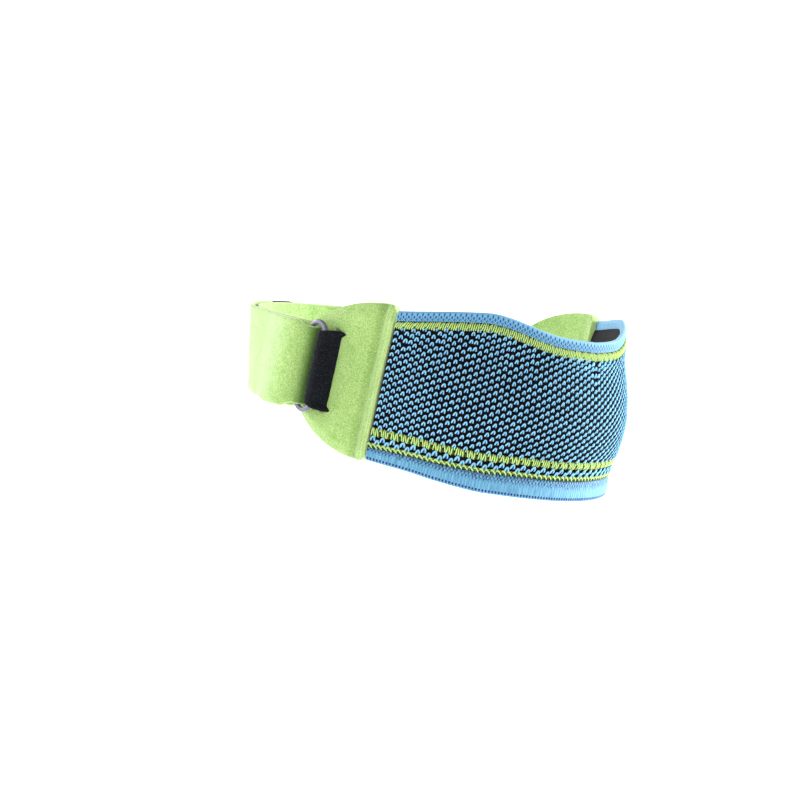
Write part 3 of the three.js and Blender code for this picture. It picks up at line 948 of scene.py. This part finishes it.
rim_knit = Finish("rim_knit")
rim_column, rim_rise = rim_knit.mapped()
rim_loops = (rim_column * 2.0 + rim_rise * 1.1).wave() * (rim_column * 2.0 - rim_rise * 1.1).wave()
# Painted shade in the rim's holes
rim_hole_shade = None
for middle, shift, wide, tall in rim_hole_rows:
    hole = spot((rim_column + shift).apart(), rim_rise - middle, wide, tall)
    rim_hole_shade = hole if rim_hole_shade is None else rim_hole_shade.larger(hole)
rim_low = 1 - rim_knit.soft(rim_rise, 1.2, 2.6)
rim_crest = rim_knit.soft(rim_loops, 0.0, 0.6)
rim_blue = rim_knit.mix(rim_crest, srgb(70, 128, 176), srgb(120, 186, 218))
rim_blue = rim_knit.mix(rim_low, srgb(106, 170, 208), rim_blue)
rim_knit.shade({
    "Base Color": rim_knit.mix(rim_knit.soft(rim_hole_shade, -0.3, 0.5) * 0.85, rim_blue, navy_and_hole_shade),
    "Roughness": 0.75,
    "Sheen Weight": 0.2,
    "Normal": rim_knit.bump(rim_loops + rim_knit.noise(0.15 * MM) * 0.4, 0.12 * MM),
})

hem_knit = Finish("hem_knit")
hem_hole, hem_rise = hem_knit.mapped()
rib_noise = hem_knit.noise(1.0, 2.0, hem_knit.vector(hem_hole * 4.2, hem_rise * 0.26))
hem_share = hem_knit.field("share")
speck_noise = hem_knit.noise(1.0, 1.0, hem_knit.vector(hem_hole * 0.9, hem_rise * 0.8))
slant_one = (hem_hole * 0.9 + hem_rise * 0.5 + speck_noise * 0.9).wave()
slant_two = (hem_hole * 0.9 - hem_rise * 0.66 + speck_noise * 0.8).wave()
purl_islands = slant_one * slant_two
purl_zone = hem_knit.soft(hem_share + speck_noise * 0.4, 0.7, 0.95)
purl = (1 - hem_knit.soft(purl_islands, 0.02, 0.1)) * purl_zone
# Painted shade in the hem's holes
hem_spot = spot(hem_hole.apart(), hem_rise - hem_hole_height, hem_hole_wide, hem_hole_tall)
hem_hole_shade = hem_knit.soft(hem_spot, -0.1, 0.2)
ribs = rib_noise * 0.86 + (hem_hole + rib_noise * 0.9).wave() * 0.14
hem_blue = hem_knit.mix(hem_knit.soft(ribs, 0.28, 0.72), srgb(68, 130, 172), srgb(112, 176, 206))
hem_knit.shade({
    "Base Color": hem_knit.mix(hem_hole_shade.larger(purl * 0.95), hem_blue, navy_and_hole_shade),
    "Roughness": 0.7,
    "Sheen Weight": 0.08,
    "Normal": hem_knit.bump(ribs + purl_islands * purl_zone * 0.8, 0.3 * MM),
})


def edge_roll(name, finish, node, low, high, thickness, pitch_map, dent, steps):
    """A flat bar with round edges along the band, its outer face dented by a pattern."""
    stations, face_steps = steps
    length = np.linspace(-band_end, band_end, stations)[:, None]
    core, up, out = (v[None, :] for v in bar_profile(face_steps, 8, 5))
    bottom, top = low(length), high(length)
    reach = (top - bottom - thickness) / 2
    height = (bottom + top) / 2 + core * reach + up * thickness / 2
    rise = (height - bottom) / MM
    across = np.broadcast_to(pitch_map(length), height.shape)
    inward = (out * 0.5 - 0.5) * thickness
    outer_side = np.clip(out, 0, 1)
    lift = inward - dent(across, rise) * outer_side
    points = on_band(length, height, lift)
    uv = np.stack([across, rise], axis=-1)
    faces = bar_faces(stations, core.size)
    share = (height - bottom) / (top - bottom)
    piece = make_piece(name, points, faces, finish, "edging", uv, {"share": share})
    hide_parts(node)


edge_roll(
    "rim_roll", rim_knit, "upper_rim", rim_bottom, top_edge, rim_thickness, column_at,
    lambda column, rise: rim_dent * rim_holes(column, rise), (760, 26),
)
edge_roll(
    "hem_roll", hem_knit, "lower_hem", bottom_edge, hem_top, hem_thickness,
    lambda length: length / hole_pitch,
    lambda hole, rise: hem_dent * hem_holes(hole, rise), (900, 34),
)

# %% [markdown]
# ## Felt
# The ears and the strap are a brushed felt: no weave shows, only a short nap with soft lighter
# and darker flecks. A low noise moves the real surface a little, a fine one gives the nap its
# relief, and sheen gives the pale look that felt has at its edges, where light grazes the nap. A
# paler painted highlight is mixed in along the edges, and painted shade darkens the ear's groove
# and the strap where it goes into the ring.

# %% Felt and tape finishes


def napped_finish(name, light, deep, painted_shade_colour, edge_highlight, sheen, grain):
    """Flecks of two sizes between two shades, with the nap as relief.

    Where the pressed field is high the colour is painted shade; near an edge it gets a painted
    highlight.
    """
    cloth = Finish(name)
    fleck = cloth.noise(grain, 3.0)
    patch = cloth.noise(9 * grain, 2.0)
    nap = cloth.noise(0.4 * grain, 2.0)
    shade = cloth.soft(fleck * 0.8 + patch * 0.2 + nap * 0.5, 0.5, 1.0)
    edge = cloth.soft(cloth.field("edge") + fleck * 0.3, 0.5, 1.2)
    napped = cloth.mix(shade, deep, light)
    cloth.shade({
        "Base Color": cloth.mix(edge, cloth.mix(cloth.field("pressed_and_shade"), napped, painted_shade_colour), edge_highlight),
        "Roughness": 0.95,
        "Specular IOR Level": 0.2,
        "Sheen Weight": sheen,
        "Sheen Roughness": 0.35,
        "Normal": cloth.bump(fleck * 0.6 + nap * 0.6, 0.3 * MM),
    })
    return cloth


felt = napped_finish("green_felt", srgb(186, 214, 140), srgb(120, 164, 70), srgb(46, 88, 12),
                     srgb(190, 220, 138), 0.7, 0.42 * MM)
tape_cloth = napped_finish("black_tape", srgb(23, 27, 35), srgb(1, 2, 4), srgb(2, 3, 5),
                           srgb(14, 16, 22), 0.0, 0.5 * MM)
tape_hair = Finish("tape_hair")
tape_hair.shade({
    "Base Color": tape_hair.mix(tape_hair.noise(1.2 * MM), srgb(10, 13, 20), srgb(84, 92, 106)),
    "Roughness": 0.9,
})


def lumps(length, height, size, seed):
    """Gentle unevenness from -1 to 1: six sine waves of about one size in seeded directions."""
    waves = np.random.default_rng(seed)
    total = 0.0
    for heading, phase in waves.random((6, 2)) * 2 * np.pi:
        run = length * np.cos(heading) + height * np.sin(heading)
        total = total + np.sin(2 * np.pi * run / size + phase)
        size = size * 0.86
    return total / 4


# %% [markdown]
# ## The moulded ears
# An ear is half an oval of thick felt, pressed in a mould: a raised lip beside the knit, a groove
# behind it, and a thinner pressed border. The same formula gives the model its ears. Here the
# grid is finer, lip and groove are a little stronger, and the cut edge is rounded over.

# %% Ears
ear_length = 35.7 * MM
ear_height = 48.8 * MM
ear_droop = 1.6 * MM
ear_thickness = 3 * MM
ear_sink = 0.5 * MM
ear_corner = 3.2 * MM
ear_tip = 0.998
border_width = 4 * MM
border_drop = 1 * MM
lip_width = 2.2 * MM
lip_rise = 1.1 * MM
groove_width = 4.6 * MM
groove_depth = 1.0 * MM
edge_round = 0.8 * MM
uneven_rise = 0.07 * MM
uneven_size = 9 * MM
uneven_from_edge = 3 * MM
highlight_width = 0.45 * MM
groove_shade = 0.15


def hump(distance, width):
    """A smooth hump of height 1: the square of a half sine."""
    return np.sin(np.pi * np.clip(distance / width, 0, 1)) ** 2


def ear_half(distance):
    """Half height of an ear: a half oval, with a small round corner taken off at the seam."""
    oval = ear_height / 2 * np.sqrt(np.maximum(0, 1 - (distance / ear_length) ** 2))
    in_corner = np.maximum(0, ear_corner - distance)
    return oval - (ear_corner - np.sqrt(ear_corner**2 - in_corner**2))


def ear_face(distance, length, height):
    """Offset of an ear's face: the band's face with its lip, groove, sink and pressed border."""
    in_from_edge = ear_half(distance) - np.abs(height + ear_droop * distance / ear_length)
    border = np.minimum(in_from_edge, ear_length - distance)
    pressed_and_shade = 1 - smooth_step(border, 0, border_width)
    lip = lip_rise * hump(distance + lip_width / 2, lip_width * 1.5)
    groove = groove_depth * hump(distance - lip_width, groove_width)
    sink = ear_sink * smooth_step(distance, 0, lip_width + groove_width)
    return face_offset(length, height) + lip - groove - sink - border_drop * pressed_and_shade, border


def rolled(border, radius):
    """How far a face drops at a rounded edge: a quarter circle of that radius."""
    inside = np.clip(1 - border / radius, 0, 1)
    return radius * (1 - np.sqrt(1 - inside**2))


def ear(name, node, side, slit=None):
    """Outer face by the moulded form, inner face along the oval, edges rolled over."""
    stations, rows = 150, 90
    turn = np.linspace(0, np.pi, stations)[:, None]
    distance = clearance + (ear_length * ear_tip - clearance) * (0.5 - np.cos(turn) / 2)
    across = np.sin(np.linspace(-np.pi / 2, np.pi / 2, rows))[None, :]
    height = -ear_droop * distance / ear_length + ear_half(distance) * across
    length = side * (seam_length + distance)
    face, border = ear_face(distance, length, height)
    soft = uneven_rise * lumps(length, height, uneven_size, 3)
    soft = soft * smooth_step(border, 0, uneven_from_edge)
    if slit is not None:
        soft = soft - slit(distance, height)
    inner = face_offset(length, height) - ear_sink - ear_thickness
    outer = place(length, height, face + soft - rolled(border, edge_round))
    back = place(length, height, inner + rolled(border, edge_round / 2))
    points = round_wall(outer, back)
    # Painted highlight: a paler colour along the ear's edges
    edge_highlight = np.clip(1 - np.minimum(border, distance - clearance) / highlight_width, 0, 1)
    # Painted shade along the ear's groove
    groove_shade_amount = groove_shade * hump(distance - lip_width, groove_width) * np.ones_like(height)
    piece = make_piece(name, points, shell_faces(stations, rows), felt, "felt",
                       fields={"edge": round_wall(edge_highlight, edge_highlight), "pressed_and_shade": round_wall(groove_shade_amount, groove_shade_amount)})
    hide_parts(node)


# %% [markdown]
# ## Ring, tape and strap
# The ring stands on edge over the ear. A doubled tape comes out of a slit and goes round its
# front bar, and the strap goes through it and back on itself. All three share a few sizes:
# the bar of the ring, the thickness of tape and strap, and the gap they keep.

# %% Sizes shared by ring, tape and strap
ring_height = 28.8 * MM
ring_width = 7.6 * MM
ring_bar = 1.6 * MM
ring_from_seam = 24.1 * MM
ring_drop = 0.5 * MM
tape_reach = 0.7 * MM
strap_reach = 1.4 * MM
strap_width = 27.2 * MM
strap_thickness = 1.6 * MM
tape_thickness = 0.8 * MM
tape_flare = 1.2 * MM
slit_from_seam = 18.2 * MM
slit_fall = (-0.3 * MM, 0.2 * MM)  # where the trench's first wall goes down, past the slit's place
slit_climb = (0.9 * MM, 1.9 * MM)  # and where its second wall comes up
slit_ends = (-0.3 * MM, 0.5 * MM)  # the same above and below, past the tape's edge
slit_sink = 1.5 * MM

bend_radius = ring_bar / 2 + clearance + strap_thickness / 2
strap_on_ear = -ear_sink + clearance + strap_thickness / 2
ring_offset = strap_on_ear + bend_radius
bar_spread = (ring_width - ring_bar) / 2
ring_straight = ring_height - ring_width
tape_height = ring_straight + 2 * tape_reach
strap_held = ring_straight + 2 * strap_reach
ring_length = seam_length + ring_from_seam
print(f"ring stands {ring_offset / MM:.1f} mm off the oval")


def slit_depth(distance, height):
    """The cut that the tape comes out of: a narrow trench as tall as the tape."""
    down = smooth_step(distance, slit_from_seam + slit_fall[0], slit_from_seam + slit_fall[1])
    up = smooth_step(distance, slit_from_seam + slit_climb[0], slit_from_seam + slit_climb[1])
    reach = tape_height / 2 + tape_flare
    tall = 1 - smooth_step(np.abs(height + ring_drop), reach + slit_ends[0], reach + slit_ends[1])
    return slit_sink * (down * (1 - up)) * tall


ear("closure_ear_felt", "closure_ear", -1, slit_depth)
ear("far_ear_felt", "far_ear", 1)

# %% Ring
ring_metal = Finish("satin_ring")
scuff = ring_metal.noise(0.8 * MM, 3.0)
ring_metal.shade({
    "Base Color": ring_metal.mix(scuff, srgb(96, 96, 112), srgb(134, 134, 150)),
    "Metallic": 0.5,
    "Roughness": scuff * 0.2 + 0.35,
    "Normal": ring_metal.bump(scuff, 0.02 * MM),
})


def ring():
    """A round-cornered wire carried round a stadium: two half circles and two straight sides."""
    bend_steps, side_steps, wire_sides, corner_power = 25, 20, 16, 3
    bend = np.linspace(0, np.pi, bend_steps)
    side = np.linspace(ring_straight / 2, -ring_straight / 2, side_steps)[1:-1]
    edge = np.ones(side.size)
    middle_x = np.concatenate([np.cos(bend), -edge, -np.cos(bend), edge]) * bar_spread
    middle_z = np.concatenate([
        ring_straight / 2 + bar_spread * np.sin(bend), side,
        -ring_straight / 2 - bar_spread * np.sin(bend), -side,
    ])
    reach = np.clip(middle_z, -ring_straight / 2, ring_straight / 2)
    out_x, out_z = middle_x / bar_spread, (middle_z - reach) / bar_spread
    turn = np.linspace(0, 2 * np.pi, wire_sides, endpoint=False)
    powers = np.abs(np.cos(turn)) ** corner_power + np.abs(np.sin(turn)) ** corner_power
    squared = powers ** (-1 / corner_power)
    wire_out = ring_bar / 2 * np.cos(turn) * squared * 0.97
    wire_up = ring_bar / 2 * np.sin(turn) * squared * 0.9
    x = middle_x[:, None] + out_x[:, None] * wire_out
    z = middle_z[:, None] + out_z[:, None] * wire_out
    centre = place(-ring_length, -ring_drop, ring_offset)
    facing = np.array([float(v) for v in outward(angle_at(-ring_length))] + [0.0])
    sideways = np.array([facing[1], -facing[0], 0.0])
    points = centre + x[..., None] * sideways + wire_up[None, :, None] * facing
    points = points + z[..., None] * np.array([0, 0, 1.0])
    count, sides = x.shape
    faces = grid_faces(count + 1, sides, wrap=True) % (count * sides)
    return make_piece("ring_bar", points, [faces], ring_metal, "ring_metal")


ring_piece = ring()
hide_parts("ring")

# %% [markdown]
# ## Ribbons
# Tape and strap are flat ribbons, so they are made directly: a rounded flat section carried along
# a route. The route says, at each station, how far round the oval and how far out it is, and which
# way its face looks. Simulation would only blur their edges.

# %% Ribbons
ribbon_round_steps = 3
hair_count = 5200
hair_reach = 0.45 * MM
hair_bend = 0.7
hair_root, hair_spread, hair_radius = 0.08, 0.15, 0.045  # in mm


def bar_away(up):
    """How far the ring's bar has curved away at a height: radius less the arc's reach."""
    reach = np.clip(np.abs(up) - ring_straight / 2, 0, bar_spread)
    return bar_spread - np.sqrt(bar_spread**2 - reach**2)


def ribbon_points(route, width, thickness, face_steps, away=np.zeros_like):
    """Section points carried along a route of length, offset, facing, middle, share and lean."""
    core, up, out = (v[None, :] for v in bar_profile(face_steps, face_steps, ribbon_round_steps))
    r = {name: np.asarray(values)[:, None] for name, values in route.items()}
    along_height = core * (width - thickness) / 2 * r["share"] + up * thickness / 2
    through = out * thickness / 2
    length = r["length"] + r["side"] * (through + away(along_height)) * r["facing_along"]
    offset = r["offset"] + through * r["facing_out"] + along_height * r["lean"]
    height = r["middle"] + along_height
    return length, height, offset, core.size


def turned_route(points, count):
    """Even stations along a rounded line of (distance, offset) points, and each one's facing."""
    steps = np.hypot(*np.diff(points, axis=0).T)
    run = np.concatenate([[0], np.cumsum(steps)])
    at = np.linspace(0, run[-1], count)
    line = np.stack([np.interp(at, run, points[:, k]) for k in (0, 1)], axis=-1)
    onward = np.gradient(line, axis=0)
    onward /= np.linalg.norm(onward, axis=1)[:, None]
    return line, onward, run[-1]


def touching(start, centre, radius, side):
    """Angle, on a circle, of the point that a line from start just touches."""
    gap = centre - start
    reach = math.hypot(*gap)
    return math.atan2(-gap[1], -gap[0]) + side * math.acos(radius / reach)


def hairs(name, points, further, count, reach, finish, slot):
    """Short pointed hairs on a surface: from a random point, outwards and bent to one side.

    Outwards is the way to the same point of a thicker surface. Each hair is a slim pyramid.
    """
    points, further = points.reshape(-1, 3), further.reshape(-1, 3)
    chosen = chance.integers(0, len(points), count)
    out = further[chosen] - points[chosen]
    out /= np.linalg.norm(out, axis=1)[:, None]
    bend = chance.normal(size=(count, 3)) * hair_bend
    foot = points[chosen] - out * hair_root * MM + bend * hair_spread * MM
    tip = foot + (out + bend) * reach * (0.4 + 0.6 * chance.random(count))[:, None]
    side = np.cross(out, bend)
    side /= np.linalg.norm(side, axis=1)[:, None]
    over = np.cross(out, side)
    turn = np.linspace(0, 2 * np.pi, 3, endpoint=False)
    ring_at = foot[:, None] + hair_radius * MM * (
        side[:, None] * np.cos(turn)[:, None] + over[:, None] * np.sin(turn)[:, None])
    corners = np.concatenate([ring_at, tip[:, None]], axis=1)
    pyramid = np.array([[0, 1, 2], [0, 3, 1], [1, 3, 2], [2, 3, 0]])
    faces = (np.arange(count)[:, None, None] * 4 + pyramid).reshape(-1, 3)
    return make_piece(name, corners, [faces], finish, slot)


def tape():
    """Out of the slit, round the ring's front bar and back into the slit."""
    stations, face_steps = 90, 50
    bar = np.array([ring_from_seam - bar_spread, ring_offset])
    radius = ring_bar / 2 + clearance + tape_thickness / 2
    low = np.array([slit_from_seam + 0.75 * MM, -ear_sink + 0.1 * MM])
    high = np.array([slit_from_seam + 0.15 * MM, -ear_sink + 0.75 * MM])
    first = touching(low, bar, radius, 1)
    last = touching(high, bar, radius, -1)
    turn = np.linspace(first, last + 2 * np.pi if last < first else last, 30)
    around = bar + radius * np.stack([np.cos(turn), np.sin(turn)], axis=-1)
    inside = np.array([-1.6, -1.6]) * MM
    points = np.concatenate([[low + inside, low], around, [high, high + inside]])
    line, onward, run = turned_route(points, stations)
    near_slit = 1 - np.abs(line[:, 0] - slit_from_seam) / (bar_spread + 1.5 * MM)
    share = 1 + 2 * tape_flare / tape_height * smooth_step(near_slit, 0, 1)
    route = {
        "length": -(seam_length + line[:, 0]), "side": -np.ones(stations), "offset": line[:, 1],
        "facing_along": onward[:, 1], "facing_out": -onward[:, 0],
        "middle": np.full(stations, -ring_drop), "share": share, "lean": np.zeros(stations),
    }

    def surface(thicker):
        """Points of a tape made that much thicker, and how many of them go round it."""
        length, height, offset, ring_size = ribbon_points(
            route, tape_height + thicker, tape_thickness + thicker, face_steps)
        corner = smooth_step(np.abs(height + ring_drop) / tape_height, 0.46, 0.53)
        corner = corner * smooth_step(-length - seam_length, slit_from_seam + 2.2 * MM,
                                      slit_from_seam)
        length, offset = length + 0.9 * MM * corner, offset + 0.5 * MM * corner
        offset = offset + 0.06 * MM * lumps(length, height, 2.2 * MM, 5)
        height = height + 0.1 * MM * lumps(length, offset * 4, 1.4 * MM, 6)
        return place(length, height, offset), ring_size

    points, ring_size = surface(0)
    faces = bar_faces(stations, ring_size)
    piece = make_piece("tape_loop", points, faces, tape_cloth, "tape")
    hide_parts("ring_tape")
    hairs("tape_nap", points, surface(0.1 * MM)[0], hair_count, hair_reach, tape_hair, "tape")


tape()

# %% [markdown]
# ## The strap
# The strap is sewn on the far ear, runs round the back, narrows into the ring, turns round its
# rear bar and comes back over itself. Towards the back its upper edge leans outwards, and where it
# is squeezed into the ring its colour is darkened with painted shade.

# %% Strap
strap_sewn = 22 * MM
strap_return = math.radians(71)
strap_squeeze = 3 * MM
strap_settle = 32 * MM
strap_swell = 2 * MM
join_soft = 0.8 * MM
strap_ramp = 20 * MM
strap_slope = 0.12
strap_lean = 0.18
lean_full = math.radians(145)
strap_face_steps = 34
strap_edge = 0.8 * MM
strap_wave = 0.035 * MM
wave_size = 22 * MM
shade_full = 3.4 * MM  # how far past the rear bar the painted shade is at its darkest
shade_reach = 6 * MM  # and over which length it fades before that

rear_bar = full_length - seam_length - ring_from_seam - bar_spread
rear_angle = float(angle_at(rear_bar))
ear_end_angle = float(angle_at(seam_length + ear_length))
ramp_end_angle = float(angle_at(seam_length + ear_length + strap_ramp))
strap_inside = -ear_sink - ear_thickness + strap_thickness / 2
strap_start = seam_length + ear_length - strap_sewn
strap_end = float(length_at(rear_angle - strap_return))
layer_step = strap_thickness + clearance


def lower_layer(length):
    """Offset of the lower layer, which climbs on the ears at both ends."""
    angle = angle_at(length)
    from_front = np.minimum(angle, 2 * np.pi - angle)
    down = smooth_step(from_front, ear_end_angle, ramp_end_angle)
    return strap_on_ear + (strap_inside - strap_on_ear) * down


def upper_layer(length):
    """Offset of the layer folded back: high at the ring, and down on the lower one after it.

    The larger of two offsets has a crease where they cross. Half of their sum and of the length
    of (their difference, a small size) rounds it off.
    """
    angle = angle_at(length)
    distance = (rear_angle - angle) * oval_radius(angle)
    down = smooth_step(distance, 0, strap_settle)
    at_ring, settled = ring_offset + bend_radius, strap_inside + layer_step
    early = np.sqrt(np.clip(distance / strap_settle, 0, 1))
    free = at_ring + (settled - at_ring) * down + strap_swell * hump(early, 1)
    resting = lower_layer(length) + layer_step
    return (free + resting + np.hypot(free - resting, join_soft)) / 2


def strap_route(length, offset, facing_along, facing_out, squeezed=False):
    """Stations of the strap, with its fall towards the back, its lean and its narrowing."""
    angle = angle_at(length)
    from_front = np.minimum(angle, 2 * np.pi - angle)
    depth = -oval_radius(angle) * np.cos(angle)
    ring_turn = angle_at(ring_length)
    ring_depth = float(-oval_radius(ring_turn) * np.cos(ring_turn))
    behind = np.maximum(0, depth - ring_depth)
    distance = np.abs(rear_angle - angle) * oval_radius(angle)
    wide = 0 * distance if squeezed else smooth_step(distance, 0, strap_squeeze)
    narrow = strap_held / strap_width
    return {
        "length": length, "side": np.ones(length.size), "offset": offset,
        "facing_along": facing_along, "facing_out": facing_out,
        "middle": -ring_drop - strap_slope * behind,
        "share": narrow + (1 - narrow) * wide,
        "lean": strap_lean * smooth_step(from_front, ear_end_angle, lean_full),
    }


def strap():
    """Lower layer, half turn round the rear bar, and upper layer, joined into one route."""
    flat_steps = 230
    lower_length = np.linspace(strap_start, rear_bar, flat_steps)
    lower = strap_route(lower_length, lower_layer(lower_length), 0 * lower_length,
                        0 * lower_length - 1)
    turn = np.linspace(-np.pi / 2, np.pi / 2, 16)[1:-1]
    bend_length = rear_bar + bend_radius * np.cos(turn)
    bend = strap_route(bend_length, ring_offset + bend_radius * np.sin(turn), np.cos(turn),
                       np.sin(turn), squeezed=True)
    upper_length = np.linspace(rear_bar, strap_end, 100)
    upper = strap_route(upper_length, upper_layer(upper_length), 0 * upper_length,
                        0 * upper_length + 1)
    route = {key: np.concatenate([lower[key], bend[key], upper[key]]) for key in lower}
    length, height, offset, ring_size = ribbon_points(
        route, strap_width, strap_thickness, strap_face_steps, bar_away)
    calm = smooth_step(np.abs(length - rear_bar), 1 * MM, 12 * MM)
    offset = offset + strap_wave * lumps(length, height, wave_size, 9) * calm
    points = place(length, height, offset)
    stations = len(route["length"])
    core, up, _ = bar_profile(strap_face_steps, strap_face_steps, ribbon_round_steps)
    aside = np.abs(core * (strap_width - strap_thickness) / 2 + up * strap_thickness / 2)
    # Painted highlight: a paler colour along the strap's long edges
    edge = np.clip((aside - strap_width / 2 + strap_edge) / strap_edge, 0, 1)
    # Painted shade on the strap where it goes into the ring, darkest just past the rear bar
    before = rear_bar + shade_full - length
    squeezed = np.clip(1 - before / shade_reach, 0, 1) ** 2
    pressed_and_shade = squeezed * np.ones_like(height)
    piece = make_piece("strap_felt", points, bar_faces(stations, ring_size), felt, "felt",
                       fields={"edge": np.tile(edge, stations), "pressed_and_shade": pressed_and_shade.ravel()})
    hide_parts("strap")
    centres = place(route["length"], route["middle"], route["offset"])


strap()

# %% [markdown]
# ## The hook tab
# The free end holds itself with a tab of fine plastic hooks, sewn on like a round fingertip. The
# photo hides it, so it is plain: a thin black pad with rounded edges.

# %% Hook tab
tab_length = 22 * MM
tab_thickness = 1.2 * MM


def hook_tab():
    """A flat bar that goes on from the strap's end, its width closing in a half circle."""
    stations, face_steps = 60, 30
    turn = np.linspace(0, np.pi / 2, stations)
    distance = clearance + (tab_length - clearance) * np.sin(turn) * ear_tip
    length = strap_end - distance
    out = strap_inside + (strap_thickness + tab_thickness) / 2 + clearance
    route = strap_route(length, np.full(stations, out), 0 * length, 0 * length + 1)
    half = strap_width / 2
    round_end = np.maximum(0, distance - (tab_length - half))
    route["share"] = np.sqrt(np.maximum(0, 1 - (round_end / half) ** 2))
    length, height, offset, ring_size = ribbon_points(
        route, strap_width, tab_thickness, face_steps)
    faces = bar_faces(stations, ring_size)
    piece = make_piece("hook_tab_pad", place(length, height, offset), faces, tape_cloth, "tape")
    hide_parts("hook_tab")


hook_tab()

# %% [markdown]
# ## Studio
# A seamless white sweep, wide soft lights and a long lens. The camera stands at the photograph's
# angle, tilted as the support is there. Lights at both sides and slightly behind give the pale
# edges that the strap and the band show.

# %% Camera
view_azimuth = math.radians(-52)
view_elevation = math.radians(8.5)
view_roll = math.radians(12.5)
view_distance = 1.2
frame_width = 0.25
sensor_width = 36.0
picture_size = 800
origin_pixel = (443.2, 372.7)

toward = Vector((
    math.sin(view_azimuth) * math.cos(view_elevation),
    -math.cos(view_azimuth) * math.cos(view_elevation),
    math.sin(view_elevation),
))
level = Vector((math.cos(view_azimuth), math.sin(view_azimuth), 0))
upright_way = toward.cross(level)
image_right = level * math.cos(view_roll) + upright_way * math.sin(view_roll)
image_up = upright_way * math.cos(view_roll) - level * math.sin(view_roll)

camera_data = bpy.data.cameras.new("camera")
camera_data.sensor_width = sensor_width
camera_data.lens = sensor_width * view_distance / frame_width
camera_data.shift_x = (picture_size / 2 - origin_pixel[0]) / picture_size
camera_data.shift_y = (origin_pixel[1] - picture_size / 2) / picture_size
camera = add_object("camera", camera_data)
turned = Matrix((image_right, image_up, toward)).transposed().to_4x4()
camera.matrix_world = Matrix.Translation(toward * view_distance) @ turned
bpy.context.scene.camera = camera
print(f"lens {camera_data.lens:.0f} mm")

# %% Sweep, world and lights
floor_height = -0.16
floor_reach = 3
sweep_run = 6
sweep_bend = 1.5
wall_stretch = 3
sweep_finish = Finish("white_sweep")
sweep_finish.shade({
    "Base Color": (0.9, 0.9, 0.9, 1),
    "Roughness": 0.9,
    "Emission Color": (1, 1, 1, 1),
    "Emission Strength": 0.5,
})


def sweep():
    """A sheet that runs along the floor and bends up all round in a quarter circle."""
    rows, sides = 40, 72
    run = np.linspace(0, sweep_run, rows)[:, None]
    turn = np.linspace(0, 2 * np.pi, sides, endpoint=False)[None, :]
    past = np.clip(run - floor_reach, 0, None)
    bend = np.minimum(past / sweep_bend, np.pi / 2)
    radius = np.minimum(run, floor_reach) + sweep_bend * np.sin(bend)
    height = sweep_bend * (1 - np.cos(bend))
    height = height + np.maximum(past - sweep_bend * np.pi / 2, 0) * wall_stretch
    x, y = radius * np.cos(turn), radius * np.sin(turn)
    points = np.stack(np.broadcast_arrays(x, y, height + floor_height), axis=-1)
    mesh = bpy.data.meshes.new("sweep")
    faces = grid_faces(rows, sides, wrap=True)
    mesh.from_pydata(points.reshape(-1, 3).tolist(), [], faces.tolist())
    mesh.materials.append(sweep_finish.material)
    piece = add_object("sweep", mesh)


sweep()

world = bpy.data.worlds.new("studio")
world.use_nodes = True
world.node_tree.nodes["Background"].inputs["Color"].default_value = (1, 1, 1, 1)
world.node_tree.nodes["Background"].inputs["Strength"].default_value = 0.25
bpy.context.scene.world = world

# Each light: place as shares of view's right, up and toward, size in metres, power in watts
lights = {
    "front_box": ((-0.35, 0.75, 1.0), 0.9, 2.2),
    "left_edge": ((-1.0, 0.25, -0.5), 0.9, 23),
    "right_edge": ((1.0, 0.3, -0.4), 0.5, 28),
}
for light_name, (shares, size, power) in lights.items():
    light_data = bpy.data.lights.new(light_name, "AREA")
    light_data.size = size
    light_data.energy = power
    light = add_object(light_name, light_data)
    spot_at = image_right * shares[0] + image_up * shares[1] + toward * shares[2]
    light.location = spot_at
    light.rotation_mode = "QUATERNION"
    light.rotation_quaternion = spot_at.to_track_quat("Z", "Y")
bpy.context.scene.view_settings.view_transform = "Standard"
